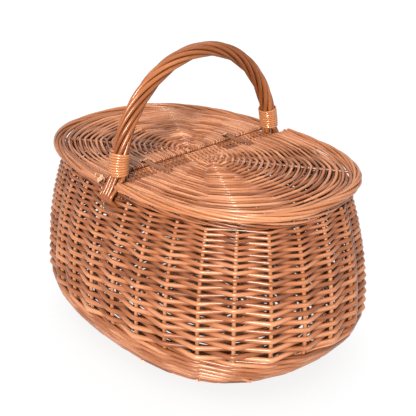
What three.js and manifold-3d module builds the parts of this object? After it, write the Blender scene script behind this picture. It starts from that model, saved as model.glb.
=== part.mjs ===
// A wicker picnic basket: an oval woven body on upright stakes, a fixed rope handle over a
// woven crossbar, and two woven lids that lift on the crossbar's two sides.
// Millimetres, +Z up. X runs along the basket's length, Y along the crossbar.
// The origin is on the table, under the middle of the basket.

import * as THREE from "three";
import { mergeVertices } from "three/addons/utils/BufferGeometryUtils.js";
import Module from "manifold-3d";

const wasm = await Module();
wasm.setup();

// Fits between pieces
const SEAT_GAP = 0.3;
const OVER = 1; // how far a cutting tool runs past what it cuts
const STICK_SIDES = 8; // of the base's and the crossbar's sticks

// Wall: the oval surface on which the stakes stand
const FOOT_HALF_LENGTH = 172;
const FOOT_HALF_WIDTH = 136;
const BULGE_HALF_LENGTH = 241;
const BULGE_HALF_WIDTH = 173.5;
const BULGE_HEIGHT = 68;
const RIM_HALF_LENGTH = 213;
const RIM_HALF_WIDTH = 137;
const FOOT_SQUARENESS = 2.8; // exponent of the plan's oval: 2 is an ellipse
const BULGE_SQUARENESS = 2.3;
const RIM_SQUARENESS = 2.5;
const FOOT_FULLNESS = 2.1; // how soon the wall leaves the foot for the bulge

// Stakes and the weave round them
const STAKES = 30;
const STAKE_RADIUS = 2.5;
const STAKE_FOOT_REACH = 22; // how far a stake runs in under the base
const STAKE_SIDES = 5;
const STAKE_SLACK = 0.5; // between a stake and the weave outside it
const WEAVER_THICKNESS = 4.2;
const WEAVE_ROWS = 30;
const WEAVE_GRADING = 0.43; // height of the top row over that of the lowest one
const COVERED_STAKE_SKIN = 0.8; // weave over a stake in the rows that pass behind it
const WALL_LEVELS = [0, 0.1, 0.22, 0.43, 0.71, 1]; // bends of a stake, as shares of the weave's height

// Foot: three rows of heavier rods, flat where the basket stands
const FOOT_ROWS = 3;
const FOOT_ROW_HEIGHT = 9;
const FOOT_THICKNESS = 5.2;
const FOOT_GROOVE = 1.5;

// Base: a woven oval over a grid of sticks, the long ones threaded through the cross ones
const BASE_LEVEL = 6; // middle of the sticks above the table
const BASE_LONG_STICKS = 2;
const BASE_LONG_RADIUS = 2.3;
const BASE_LONG_PITCH = 30;
const BASE_CROSS_STICKS = 3;
const BASE_CROSS_RADIUS = 4;
const BASE_CROSS_PITCH = 92;
const BASE_STICK_SETBACK = 28; // from the wall to the end of a stick
const BASE_THICKNESS = 6;
const BASE_CROWN = 3;
const BASE_INSET = 3.2; // from the wall, so that the stakes bend up past its edge
const BASE_RINGS = 7;
const BASE_RING_RELIEF = 0.9;

// Rim: the rolled border on top of the wall
const RIM_BOTTOM = 220.5;
const RIM_HEIGHT = 15;
const RIM_THICKNESS = 14.5;
const RIM_SIDES = 8;

// Lids
const LID_END_REACH = 17; // of the lids beyond the middle of the rim at the basket's ends
const LID_SIDE_REACH = 19.5; // and at its sides
const LID_SQUARENESS = 2.5;
const LID_BORDER_WIDTH = 12;
const LID_BORDER_HEIGHT = 12;
const LID_BORDER_STEPS = 30;
const HINGE_ROD_RADIUS = 3.2;
const HINGE_ROD_SIDES = 10;
const HINGE_GAP = 3.6; // between the crossbar's edge and the hinge rod, seen from above
const HINGE_DROP = 1; // middle of the hinge rod below the middle of the lid's border
const LID_STICK_RADIUS = 2.3;
const LID_STICK_SIDES = 6;
const LID_STICK_ANGLES = [-62, -32, 0, 32, 62]; // degrees from the basket's length
const LID_WEAVE_THICKNESS = 2.4; // where a row passes under a stick
const LID_WEAVE_RELIEF = 2; // how much higher it stands over a stick
const LID_WEAVE_ROWS = 13;
const LID_STICK_COLUMNS = 3; // columns of the weave from one stick to the next

// Crossbar: two sticks let into the rim's top, with a strip woven round them
const BAR_HALF_WIDTH = 13.6;
const BAR_HALF_THICKNESS = 4.6;
const BAR_STICK_RADIUS = 2.8;
const BAR_STICK_COVER = 1; // strip outside each stick
const BAR_STICK_SINK = 1.5; // depth of the grooves for the sticks in the rim's top
const BAR_STICK_LAP = 9; // how far each end lies on the rim
const BAR_BEADS = 22;
const BAR_BEAD_DEPTH = 0.9;

// Hinge straps: each goes round the crossbar and both hinge rods
const STRAP_OFFSET = 74; // from the basket's middle along the crossbar
const STRAP_WIDTH = 8;
const STRAP_THICKNESS = 1.4;
const STRAP_SLOT_CLEARANCE = 1.2;
const STRAP_SLOT_SIDES = 16;
const STRAP_WAIST = 3; // in from the crossbar's edge, where the strap lies down on it

// Handle: seven rods twisted round a core
const HANDLE_TOP = 382.5; // middle of the rope at the top
const ARCH_FOOT_RISE = 1; // above the rim, where the handle's line starts to lean in
const ROPE_FOOT_RISE = 14.5; // above the rim, where the twist ends
const CORE_FOOT_RADIUS = 4.4;
const CORE_TOP_RADIUS = 3.7;
const CORE_TIP_RADIUS = 3;
const CORE_SIDES = 6;
const CORE_HOLE_SIDES = 10; // of the holes in the rim for the core
const CORE_TIP_STEPS = 2; // points of the core's line along which its tip widens
const CORE_TAPER_START = 0.4; // share of the arch's rise at which the core starts to thin
const CORE_TIP_HEIGHT = 184; // the core's lower end, inside the wall
const CORE_INSET = 2.2; // from the stakes' surface
const STRANDS = 7;
const STRAND_FOOT_RADIUS = 3;
const STRAND_TOP_RADIUS = 2.8;
const ORBIT_FOOT = 8;
const ORBIT_TOP = 7.2;
const STRAND_TURNS = 2;
const STRAND_STEPS = 24;
const STRAND_SIDES = 5;

// Tails: the rods of the handle that run on over the rim on each side
const TAILS = 5;
const TAIL_RADIUS = 2.2;
const TAIL_PITCH = 4.9;
const TAIL_KNEE = 3.2; // how far below the twist the rods start to spread
const TAIL_BULGE = 21; // how far out of the handle's line the rods bend over the rim
const TAIL_BULGE_RISE = 4; // that bend above the rim's underside
const TAIL_END_HEIGHT = 210;

// Bindings round the feet of the handle
const BINDING_RADIUS = 1.25;
const BINDING_TURNS = 8;
const BINDING_PITCH = 3.4;
const BINDING_STEPS = 12; // in each turn
const BINDING_SIDES = 4;

// Heights and places that follow from the sizes above
const FOOT_TOP = FOOT_ROWS * FOOT_ROW_HEIGHT;
const WEAVE_BOTTOM = FOOT_TOP + SEAT_GAP;
const WEAVE_TOP = RIM_BOTTOM - SEAT_GAP;
const RIM_MIDDLE = RIM_BOTTOM + RIM_HEIGHT / 2;
const RIM_TOP = RIM_BOTTOM + RIM_HEIGHT;
const LID_HALF_LENGTH = RIM_HALF_LENGTH + LID_END_REACH;
const LID_HALF_WIDTH = RIM_HALF_WIDTH + LID_SIDE_REACH;
const LID_LEVEL = RIM_TOP + SEAT_GAP + LID_BORDER_HEIGHT / 2;
const HINGE_LEVEL = LID_LEVEL - HINGE_DROP;
const LID_WEAVE_COLUMNS = LID_STICK_COLUMNS * (LID_STICK_ANGLES.length + 1);
const BAR_LEVEL = RIM_TOP - BAR_STICK_SINK + SEAT_GAP + BAR_STICK_RADIUS;
const BAR_TOP = BAR_LEVEL + BAR_HALF_THICKNESS;
const BAR_STICK_PLACE = BAR_HALF_WIDTH - BAR_STICK_RADIUS - BAR_STICK_COVER;
const BAR_HALF_LENGTH = RIM_HALF_WIDTH - RIM_THICKNESS / 2 - 2 * SEAT_GAP;
const HINGE_PLACE = BAR_HALF_WIDTH + HINGE_GAP + HINGE_ROD_RADIUS;
const BASE_BOTTOM = BASE_LEVEL + BASE_CROSS_RADIUS + SEAT_GAP + BASE_RING_RELIEF;
const HANDLE_HALF_SPAN = RIM_HALF_WIDTH; // the legs stand on the middle of the rim
const ARCH_FOOT = RIM_TOP + ARCH_FOOT_RISE;
const ROPE_FOOT = RIM_TOP + ROPE_FOOT_RISE;
const STANDING_END = BAR_TOP + SEAT_GAP; // lower end of the strands that stand on the crossbar
const ROPE_RADIUS = ORBIT_FOOT + STRAND_FOOT_RADIUS;
const WEAVE_HOLLOW = STAKE_RADIUS + STAKE_SLACK; // inside of the weave over a stake
const WEAVE_SWELL = WEAVE_HOLLOW + WEAVER_THICKNESS; // outside of the weave over a stake

// Helpers: shapes

// Adds up a list of triangles into a geometry that three.js can draw.
function geometryOf(points, triangles) {
  const geometry = new THREE.BufferGeometry();
  geometry.setAttribute("position", new THREE.Float32BufferAttribute(points, 3));
  geometry.setIndex(triangles);
  return geometry;
}

// A closed ring: a loop of points, anticlockwise with the outside to the right, swept
// anticlockwise round the basket. pointAt(column, index) gives each point.
function ringSolid(columns, loopLength, pointAt) {
  const points = [];
  const triangles = [];
  for (let i = 0; i < columns; i++) {
    for (let j = 0; j < loopLength; j++) {
      points.push(...pointAt(i, j).toArray());
      const next = (i + 1) % columns;
      const above = (j + 1) % loopLength;
      const a = i * loopLength + j;
      const b = next * loopLength + j;
      const c = next * loopLength + above;
      const d = i * loopLength + above;
      triangles.push(a, b, c, a, c, d);
    }
  }
  return geometryOf(points, triangles);
}

// A solid disc: a line of points from the underside's middle out, round the edge and back to
// the top's middle, swept anticlockwise. The first and the last point are on the axis.
function discSolid(columns, lineLength, pointAt) {
  const points = [];
  const triangles = [];
  for (let i = 0; i < columns; i++) {
    for (let j = 1; j < lineLength - 1; j++) {
      points.push(...pointAt(i, j).toArray());
    }
  }
  const under = points.length / 3;
  const axisPoints = [pointAt(0, 0), pointAt(0, lineLength - 1)];
  axisPoints.forEach((point) => points.push(...point.toArray()));
  const stride = lineLength - axisPoints.length;
  for (let i = 0; i < columns; i++) {
    const here = i * stride;
    const next = ((i + 1) % columns) * stride;
    triangles.push(under, next, here);
    for (let j = 0; j < stride - 1; j++) {
      triangles.push(here + j, next + j, next + j + 1, here + j, next + j + 1, here + j + 1);
    }
    triangles.push(here + stride - 1, next + stride - 1, under + 1);
  }
  return geometryOf(points, triangles);
}

// A round rod through a list of points, with a flat end at each side. radiusAt(share) is its
// radius at that share of its points.
function rodSolid(path, sides, radiusAt) {
  const last = path.length - 1;
  const points = [];
  const triangles = [];
  const tangentAt = (i) =>
    new THREE.Vector3().subVectors(path[Math.min(i + 1, last)], path[Math.max(i - 1, 0)]).normalize();
  const normal = new THREE.Vector3(1, 0, 0);
  if (Math.abs(tangentAt(0).x) > 0.8) {
    normal.set(0, 1, 0);
  }
  path.forEach((centre, i) => {
    const tangent = tangentAt(i);
    normal.addScaledVector(tangent, -normal.dot(tangent)).normalize();
    const side = new THREE.Vector3().crossVectors(tangent, normal);
    const radius = radiusAt(i / last);
    for (let k = 0; k < sides; k++) {
      const turn = (2 * Math.PI * k) / sides;
      const point = centre.clone();
      point.addScaledVector(normal, radius * Math.cos(turn));
      point.addScaledVector(side, radius * Math.sin(turn));
      points.push(...point.toArray());
    }
  });
  for (let i = 0; i < last; i++) {
    for (let k = 0; k < sides; k++) {
      const a = i * sides + k;
      const b = i * sides + ((k + 1) % sides);
      triangles.push(a, b, b + sides, a, b + sides, a + sides);
    }
  }
  const end = last * sides;
  for (let k = 1; k < sides - 1; k++) {
    triangles.push(0, k + 1, k);
    triangles.push(end, end + k, end + k + 1);
  }
  return geometryOf(points, triangles);
}

const straightRod = (from, to, sides, radius) => rodSolid([from, to], sides, () => radius);

// A slab between two grids of points that share their plan. upper and lower give each point.
function slabSolid(columns, rows, upper, lower) {
  const points = [];
  const triangles = [];
  const stride = rows + 1;
  const sheet = (columns + 1) * stride;
  for (const face of [upper, lower]) {
    for (let i = 0; i <= columns; i++) {
      for (let j = 0; j <= rows; j++) {
        points.push(...face(i, j).toArray());
      }
    }
  }
  const quad = (a, b, c, d) => triangles.push(a, b, c, a, c, d);
  for (let i = 0; i < columns; i++) {
    for (let j = 0; j < rows; j++) {
      const a = i * stride + j;
      quad(a, a + 1, a + stride + 1, a + stride);
      quad(sheet + a, sheet + a + stride, sheet + a + stride + 1, sheet + a + 1);
    }
  }
  for (let i = 0; i < columns; i++) {
    const inner = i * stride;
    const outer = inner + rows;
    quad(inner, inner + stride, sheet + inner + stride, sheet + inner);
    quad(outer, sheet + outer, sheet + outer + stride, outer + stride);
  }
  for (let j = 0; j < rows; j++) {
    const near = columns * stride + j;
    quad(j, sheet + j, sheet + j + 1, j + 1);
    quad(near, near + 1, sheet + near + 1, sheet + near);
  }
  return geometryOf(points, triangles);
}

// Helpers: joining and cutting

function solidOf(geometry) {
  const bare = geometry.clone();
  bare.deleteAttribute("normal");
  bare.deleteAttribute("uv");
  const merged = mergeVertices(bare, 1e-3);
  const vertProperties = new Float32Array(merged.attributes.position.array);
  const triVerts = new Uint32Array(merged.index.array);
  return new wasm.Manifold(new wasm.Mesh({ numProp: 3, vertProperties, triVerts }));
}

function geometryFrom(solid) {
  const mesh = solid.getMesh();
  return geometryOf(Array.from(mesh.vertProperties), Array.from(mesh.triVerts));
}

const joined = (geometries) => geometryFrom(geometries.map(solidOf).reduce((all, one) => all.add(one)));
const cut = (geometry, tools) => {
  const whole = solidOf(geometry);
  return geometryFrom(tools.map(solidOf).reduce((rest, tool) => rest.subtract(tool), whole));
};

// Helpers: the wall

const mix = THREE.MathUtils.lerp;

// The oval on which the stakes stand at a height.
function wallAt(height) {
  if (height < BULGE_HEIGHT) {
    const share = 1 - Math.pow(1 - Math.max(height, 0) / BULGE_HEIGHT, FOOT_FULLNESS);
    return {
      halfLength: mix(FOOT_HALF_LENGTH, BULGE_HALF_LENGTH, share),
      halfWidth: mix(FOOT_HALF_WIDTH, BULGE_HALF_WIDTH, share),
      squareness: mix(FOOT_SQUARENESS, BULGE_SQUARENESS, share),
    };
  }
  const share = Math.pow((height - BULGE_HEIGHT) / (RIM_MIDDLE - BULGE_HEIGHT), 2);
  return {
    halfLength: mix(BULGE_HALF_LENGTH, RIM_HALF_LENGTH, share),
    halfWidth: mix(BULGE_HALF_WIDTH, RIM_HALF_WIDTH, share),
    squareness: mix(BULGE_SQUARENESS, RIM_SQUARENESS, share),
  };
}

const signedPower = (value, power) => Math.sign(value) * Math.pow(Math.abs(value), power);

// A point of an oval at an angle, moved out square to the oval by an offset.
function ovalPoint(oval, angle, offset, height) {
  const { halfLength, halfWidth, squareness } = oval;
  const x = halfLength * signedPower(Math.cos(angle), 2 / squareness);
  const y = halfWidth * signedPower(Math.sin(angle), 2 / squareness);
  const outX = signedPower(x / halfLength, squareness - 1) / halfLength;
  const outY = signedPower(y / halfWidth, squareness - 1) / halfWidth;
  const reach = offset / Math.hypot(outX, outY);
  return new THREE.Vector3(x + outX * reach, y + outY * reach, height);
}

// Angles that share an oval's length evenly, the first on the +X end.
function evenAngles(count, oval) {
  const samples = 1440;
  const lengths = [0];
  for (let i = 1; i <= samples; i++) {
    const before = ovalPoint(oval, (2 * Math.PI * (i - 1)) / samples, 0, 0);
    const here = ovalPoint(oval, (2 * Math.PI * i) / samples, 0, 0);
    lengths.push(lengths[i - 1] + here.distanceTo(before));
  }
  const angles = [];
  let i = 0;
  for (let k = 0; k < count; k++) {
    const wanted = (lengths[samples] * k) / count;
    while (lengths[i + 1] <= wanted) {
      i++;
    }
    const share = (wanted - lengths[i]) / (lengths[i + 1] - lengths[i]);
    angles.push((2 * Math.PI * (i + share)) / samples);
  }
  return angles;
}

// Two columns for each stake: the even ones on the stakes, the odd ones between them.
const COLUMNS = 2 * STAKES;
const columnAngles = evenAngles(COLUMNS, wallAt(BULGE_HEIGHT));
const isHandleColumn = (column) => column === COLUMNS / 4 || column === (3 * COLUMNS) / 4;

// A point beside the wall at a height, an offset away measured square to the wall.
function onWall(column, offset, height) {
  const step = 0.5;
  const angle = columnAngles[column];
  const here = ovalPoint(wallAt(height), angle, 0, height);
  const outward = ovalPoint(wallAt(height), angle, 1, height).sub(here);
  const rise = ovalPoint(wallAt(height + step), angle, 0, height + step).sub(here).normalize();
  const lean = outward.dot(rise);
  return here.addScaledVector(outward, offset / Math.sqrt(1 - lean * lean));
}

const weaveHeight = (share) => mix(WEAVE_BOTTOM, WEAVE_TOP, share);
const rowHeight = (share) => weaveHeight((1 - Math.pow(WEAVE_GRADING, share)) / (1 - WEAVE_GRADING));

// Body

// The stakes lie in the valleys inside the weave, which swells out over each of them.
function sideWeave() {
  const rows = WEAVE_ROWS + 1;
  const isValley = (column) => column % 2 === 0 || isHandleColumn(column);
  const outside = (column, row) => {
    if (!isValley(column)) {
      return WEAVER_THICKNESS / 2;
    }
    const isOver = (Math.floor(column / 2) + row) % 2 === 0;
    return isOver ? WEAVE_SWELL : WEAVE_HOLLOW + COVERED_STAKE_SKIN;
  };
  return ringSolid(COLUMNS, rows + WALL_LEVELS.length, (column, index) => {
    if (index < rows) {
      return onWall(column, outside(column, index), rowHeight(index / WEAVE_ROWS));
    }
    const level = WALL_LEVELS[WALL_LEVELS.length - 1 - (index - rows)];
    return onWall(column, isValley(column) ? WEAVE_HOLLOW : -WEAVER_THICKNESS / 2, weaveHeight(level));
  });
}

// A stake: from under the base, up round the bend and up the wall to the border.
function stake(number) {
  const heights = [BASE_LEVEL, FOOT_TOP / 2, ...WALL_LEVELS.map(weaveHeight)];
  const foot = onWall(2 * number, 0, BASE_LEVEL);
  const direction = ovalPoint(wallAt(BASE_LEVEL), columnAngles[2 * number], 1, BASE_LEVEL).sub(foot);
  const tip = foot.clone().addScaledVector(direction, -STAKE_FOOT_REACH);
  const path = [tip, ...heights.map((height) => onWall(2 * number, 0, height))];
  return rodSolid(path, STAKE_SIDES, () => STAKE_RADIUS);
}

// Three heavier rows outside the stakes, with a flat underside that stands on the table.
function footRows() {
  const inner = STAKE_RADIUS + SEAT_GAP;
  const outer = inner + FOOT_THICKNESS;
  const loop = [[outer - FOOT_GROOVE, 0]];
  for (let row = 0; row < FOOT_ROWS; row++) {
    loop.push([outer, (row + 0.5) * FOOT_ROW_HEIGHT]);
    loop.push([outer - FOOT_GROOVE, (row + 1) * FOOT_ROW_HEIGHT]);
  }
  loop.push([inner, FOOT_TOP]);
  loop.push([inner, FOOT_TOP / 2]);
  loop.push([inner, BASE_LEVEL]);
  loop.push([inner, 0]);
  return ringSolid(COLUMNS, loop.length, (column, index) => onWall(column, ...loop[index]));
}

// The base's oval of weave, ribbed by its rows, crowned a little to keep it off the table.
function baseWeave() {
  const loop = [];
  for (let ring = 0; ring <= BASE_RINGS; ring++) {
    loop.push([ring / BASE_RINGS, 0, ring % 2]);
  }
  for (let ring = BASE_RINGS; ring >= 0; ring--) {
    loop.push([ring / BASE_RINGS, 1, ring % 2]);
  }
  return discSolid(COLUMNS / 2, loop.length, (column, index) => {
    const [share, isTop, isRaised] = loop[index];
    const relief = (isTop ? 1 : -1) * isRaised * BASE_RING_RELIEF * (share < 1 ? 1 : 0);
    const level = BASE_BOTTOM + isTop * BASE_THICKNESS;
    const edge = onWall(2 * column, -BASE_INSET, level);
    const height = level + isTop * BASE_CROWN * (1 - share * share) + relief;
    return new THREE.Vector3(edge.x * share, edge.y * share, height);
  });
}

// How far a base stick reaches from the middle, at a share of the oval's other half axis.
function stickReach(halfAxis, otherHalfAxis, place, squareness) {
  const share = 1 - Math.pow(Math.abs(place) / otherHalfAxis, squareness);
  return halfAxis * Math.pow(share, 1 / squareness) - BASE_STICK_SETBACK;
}

function baseLongPlace(number) {
  return (number - (BASE_LONG_STICKS - 1) / 2) * BASE_LONG_PITCH;
}

function baseLongStick(number, radius) {
  const { halfLength, halfWidth, squareness } = wallAt(BASE_LEVEL);
  const y = baseLongPlace(number);
  const reach = stickReach(halfLength, halfWidth, y, squareness);
  const from = new THREE.Vector3(-reach, y, BASE_LEVEL);
  return straightRod(from, new THREE.Vector3(reach, y, BASE_LEVEL), STICK_SIDES, radius);
}

// A cross stick, pierced for each of the long ones.
function baseCrossStick(number) {
  const { halfLength, halfWidth, squareness } = wallAt(BASE_LEVEL);
  const x = (number - (BASE_CROSS_STICKS - 1) / 2) * BASE_CROSS_PITCH;
  const reach = stickReach(halfWidth, halfLength, x, squareness);
  const from = new THREE.Vector3(x, -reach, BASE_LEVEL);
  const to = new THREE.Vector3(x, reach, BASE_LEVEL);
  const stick = straightRod(from, to, STICK_SIDES, BASE_CROSS_RADIUS);
  const holes = [];
  for (let i = 0; i < BASE_LONG_STICKS; i++) {
    holes.push(baseLongStick(i, BASE_LONG_RADIUS + SEAT_GAP));
  }
  return cut(stick, holes);
}

// The rolled border on the wall. The feet of the handle and the crossbar's sticks go into it.
function rimBorder() {
  const ring = ringSolid(COLUMNS, RIM_SIDES, (column, index) => {
    const turn = (2 * Math.PI * (index - 0.5)) / RIM_SIDES - Math.PI / 2;
    const grow = 1 / Math.cos(Math.PI / RIM_SIDES);
    const height = RIM_MIDDLE + (RIM_HEIGHT / 2) * grow * Math.sin(turn);
    const offset = (RIM_THICKNESS / 2) * grow * Math.cos(turn);
    return ovalPoint(wallAt(RIM_MIDDLE), columnAngles[column], offset, height);
  });
  const holeRadius = (CORE_FOOT_RADIUS + SEAT_GAP) / Math.cos(Math.PI / CORE_HOLE_SIDES);
  const holes = [-1, 1].map((side) => rodSolid(coreFoot(side), CORE_HOLE_SIDES, () => holeRadius));
  return cut(ring, [...holes, crossbarStick(-1, SEAT_GAP), crossbarStick(1, SEAT_GAP)]);
}

// Crossbar

function crossbarStick(side, clearance) {
  const x = side * BAR_STICK_PLACE;
  const reach = RIM_HALF_WIDTH - RIM_THICKNESS / 2 + BAR_STICK_LAP + clearance;
  const from = new THREE.Vector3(x, -reach, BAR_LEVEL);
  const to = new THREE.Vector3(x, reach, BAR_LEVEL);
  return straightRod(from, to, STICK_SIDES, BAR_STICK_RADIUS + clearance);
}

// The woven strip round both sticks. Its edges are beaded where each weaver turns back.
function crossbarWeave() {
  const pitch = (2 * BAR_HALF_LENGTH) / BAR_BEADS;
  const right = [];
  for (let bead = 0; bead < BAR_BEADS; bead++) {
    const from = bead * pitch - BAR_HALF_LENGTH;
    right.push(new THREE.Vector2(BAR_HALF_WIDTH - BAR_BEAD_DEPTH, from));
    right.push(new THREE.Vector2(BAR_HALF_WIDTH, from + pitch / 2));
  }
  right.push(new THREE.Vector2(BAR_HALF_WIDTH - BAR_BEAD_DEPTH, BAR_HALF_LENGTH));
  const left = right.map((point) => new THREE.Vector2(-point.x, point.y)).reverse();
  const strip = new THREE.ExtrudeGeometry(new THREE.Shape([...right, ...left]), {
    depth: 2 * BAR_HALF_THICKNESS,
    bevelEnabled: false,
  });
  strip.translate(0, 0, BAR_TOP - 2 * BAR_HALF_THICKNESS);
  return cut(strip, [crossbarStick(-1, SEAT_GAP), crossbarStick(1, SEAT_GAP)]);
}

// The closed line of a strap, grown by a thickness: round the hinge rod on the right, down on
// the crossbar, round the other hinge rod, and back under the crossbar.
function strapLine(grow) {
  const arcSteps = 10;
  const radius = HINGE_ROD_RADIUS + SEAT_GAP + grow;
  const top = BAR_TOP + SEAT_GAP + grow - HINGE_LEVEL;
  const bottom = BAR_LEVEL - BAR_HALF_THICKNESS - SEAT_GAP - grow - HINGE_LEVEL;
  const waist = new THREE.Vector2(BAR_HALF_WIDTH - STRAP_WAIST - grow / 2, top);
  const corner = new THREE.Vector2(BAR_HALF_WIDTH + SEAT_GAP + grow / 2, bottom);
  const upper = tangentAngle(waist, radius, 1);
  const lower = tangentAngle(corner, radius, -1);
  const right = [corner];
  for (let i = 0; i <= arcSteps; i++) {
    const turn = mix(lower, upper, i / arcSteps);
    const x = HINGE_PLACE + radius * Math.cos(turn);
    right.push(new THREE.Vector2(x, radius * Math.sin(turn)));
  }
  right.push(waist);
  const left = right.map((point) => new THREE.Vector2(-point.x, point.y)).reverse();
  return [...right, ...left];
}

// Where a line from a point on the crossbar meets a circle round the right hinge rod, above
// (side 1) or below it (side -1), as an angle on that circle.
function tangentAngle(point, radius, side) {
  const distance = Math.hypot(point.x - HINGE_PLACE, point.y);
  const towards = Math.atan2(point.y, point.x - HINGE_PLACE);
  const turn = towards - side * Math.acos(radius / distance);
  return side > 0 && turn < 0 ? turn + 2 * Math.PI : turn;
}

function hingeStrap(side) {
  const shape = new THREE.Shape(strapLine(STRAP_THICKNESS));
  shape.holes.push(new THREE.Path(strapLine(0)));
  const strap = new THREE.ExtrudeGeometry(shape, { depth: STRAP_WIDTH, bevelEnabled: false });
  strap.rotateX(Math.PI / 2);
  strap.translate(0, side * STRAP_OFFSET + STRAP_WIDTH / 2, HINGE_LEVEL);
  return strap;
}

// Lids: made for the +X end, and turned half round for the other

const lidOval = (inset) => ({
  halfLength: LID_HALF_LENGTH - inset,
  halfWidth: LID_HALF_WIDTH - inset,
  squareness: LID_SQUARENESS,
});

// The angle at which an oval passes a distance along the basket's length.
function angleAt(oval, x) {
  return Math.acos(Math.pow(x / oval.halfLength, oval.squareness / 2));
}

function lidBorder() {
  const oval = lidOval(LID_BORDER_WIDTH / 2);
  const end = angleAt(oval, HINGE_PLACE - HINGE_ROD_RADIUS);
  const sides = 6;
  const points = [];
  const triangles = [];
  for (let i = 0; i <= LID_BORDER_STEPS; i++) {
    const angle = mix(-end, end, i / LID_BORDER_STEPS);
    for (let k = 0; k < sides; k++) {
      const turn = (2 * Math.PI * k) / sides;
      const out = (LID_BORDER_WIDTH / 2) * Math.cos(turn);
      const rise = ((LID_BORDER_HEIGHT / 2) * Math.sin(turn)) / Math.cos(Math.PI / sides);
      points.push(...ovalPoint(oval, angle, out, LID_LEVEL + rise).toArray());
    }
  }
  for (let i = 0; i < LID_BORDER_STEPS; i++) {
    for (let k = 0; k < sides; k++) {
      const a = i * sides + k;
      const b = i * sides + ((k + 1) % sides);
      triangles.push(a, a + sides, b + sides, a, b + sides, b);
    }
  }
  const far = LID_BORDER_STEPS * sides;
  for (let k = 1; k < sides - 1; k++) {
    triangles.push(0, k, k + 1);
    triangles.push(far, far + k + 1, far + k);
  }
  return geometryOf(points, triangles);
}

// The hinge rod and the sticks that fan out from its middle under the weave.
function lidSticks() {
  const inner = lidOval(LID_BORDER_WIDTH + SEAT_GAP);
  const rodEnd = ovalPoint(inner, angleAt(inner, HINGE_PLACE), 0, 0).y - SEAT_GAP;
  const stickLevel = RIM_TOP + SEAT_GAP + LID_STICK_RADIUS;
  const from = new THREE.Vector3(HINGE_PLACE, -rodEnd, HINGE_LEVEL);
  const to = new THREE.Vector3(HINGE_PLACE, rodEnd, HINGE_LEVEL);
  const rods = [straightRod(from, to, HINGE_ROD_SIDES, HINGE_ROD_RADIUS)];
  const start = new THREE.Vector3(HINGE_PLACE, 0, stickLevel);
  for (const degrees of LID_STICK_ANGLES) {
    const edge = lidEdge(inner, THREE.MathUtils.degToRad(degrees));
    const tip = new THREE.Vector3(edge.x - LID_STICK_RADIUS, edge.y, stickLevel);
    rods.push(straightRod(start, tip, LID_STICK_SIDES, LID_STICK_RADIUS));
  }
  return joined(rods);
}

// Where a line from the middle of the hinge rod, at an angle, meets an oval.
function lidEdge(oval, direction) {
  let near = 0;
  let far = 2 * oval.halfLength;
  const steps = 40;
  for (let i = 0; i < steps; i++) {
    const reach = (near + far) / 2;
    const x = HINGE_PLACE + reach * Math.cos(direction);
    const y = Math.abs(reach * Math.sin(direction));
    const inside =
      Math.pow(x / oval.halfLength, oval.squareness) + Math.pow(y / oval.halfWidth, oval.squareness) < 1;
    if (inside) {
      near = reach;
    } else {
      far = reach;
    }
  }
  return new THREE.Vector3(
    HINGE_PLACE + near * Math.cos(direction),
    near * Math.sin(direction),
    0,
  );
}

// The D-shaped sheet of weave. Its rows run round the hinge rod's middle, and each stands up
// over every other stick, in turn with its neighbours.
function lidWeave() {
  const inner = lidOval(LID_BORDER_WIDTH + SEAT_GAP);
  const straight = HINGE_PLACE + HINGE_ROD_RADIUS + SEAT_GAP;
  const end = angleAt(inner, straight);
  const bottom = RIM_TOP + 2 * (SEAT_GAP + LID_STICK_RADIUS);
  const stops = [-90, ...LID_STICK_ANGLES, 90];
  const columnEnds = [ovalPoint(inner, -end, 0, 0)];
  for (let column = 1; column < LID_WEAVE_COLUMNS; column++) {
    const stop = Math.floor(column / LID_STICK_COLUMNS);
    const share = column / LID_STICK_COLUMNS - stop;
    columnEnds.push(lidEdge(inner, THREE.MathUtils.degToRad(mix(stops[stop], stops[stop + 1], share))));
  }
  columnEnds.push(ovalPoint(inner, end, 0, 0));
  const plan = (column, row, height) => {
    const edge = columnEnds[column];
    const share = row / LID_WEAVE_ROWS;
    return new THREE.Vector3(mix(straight, edge.x, share), edge.y * share, height);
  };
  const relief = (column, row) => {
    const isOnStick = column % LID_STICK_COLUMNS === 0 && column % LID_WEAVE_COLUMNS > 0;
    if (!isOnStick || row === 0) {
      return LID_WEAVE_RELIEF / 2;
    }
    return (column / LID_STICK_COLUMNS + row) % 2 === 0 ? LID_WEAVE_RELIEF : 0;
  };
  const sheet = slabSolid(
    LID_WEAVE_COLUMNS,
    LID_WEAVE_ROWS,
    (column, row) => plan(column, row, bottom + LID_WEAVE_THICKNESS + relief(column, row)),
    (column, row) => plan(column, row, bottom),
  );
  const slotRadius = HINGE_ROD_RADIUS + SEAT_GAP + STRAP_THICKNESS + STRAP_SLOT_CLEARANCE;
  const slots = [-1, 1].map((side) => {
    const middle = side * STRAP_OFFSET;
    const reach = STRAP_WIDTH / 2 + STRAP_SLOT_CLEARANCE;
    const from = new THREE.Vector3(HINGE_PLACE, middle - reach, HINGE_LEVEL);
    const to = new THREE.Vector3(HINGE_PLACE, middle + reach, HINGE_LEVEL);
    return straightRod(from, to, STRAP_SLOT_SIDES, slotRadius);
  });
  return cut(sheet, slots);
}

// Handle

// The line of the handle: up one leg, over the arch and down the other.
function handlePoint(share) {
  const turn = Math.PI * share;
  const rise = (HANDLE_TOP - ARCH_FOOT) * Math.sin(turn);
  return new THREE.Vector3(0, -HANDLE_HALF_SPAN * Math.cos(turn), ARCH_FOOT + rise);
}

// The share of the handle's line at which its first leg passes a height.
const shareAtHeight = (height) => Math.asin((height - ARCH_FOOT) / (HANDLE_TOP - ARCH_FOOT)) / Math.PI;

// The direction square to the handle's line, in its plane, away from the hand.
function handleOut(share) {
  const step = 1e-4;
  const along = handlePoint(share + step).sub(handlePoint(share - step)).normalize();
  return new THREE.Vector3(0, -along.z, along.y);
}

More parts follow.
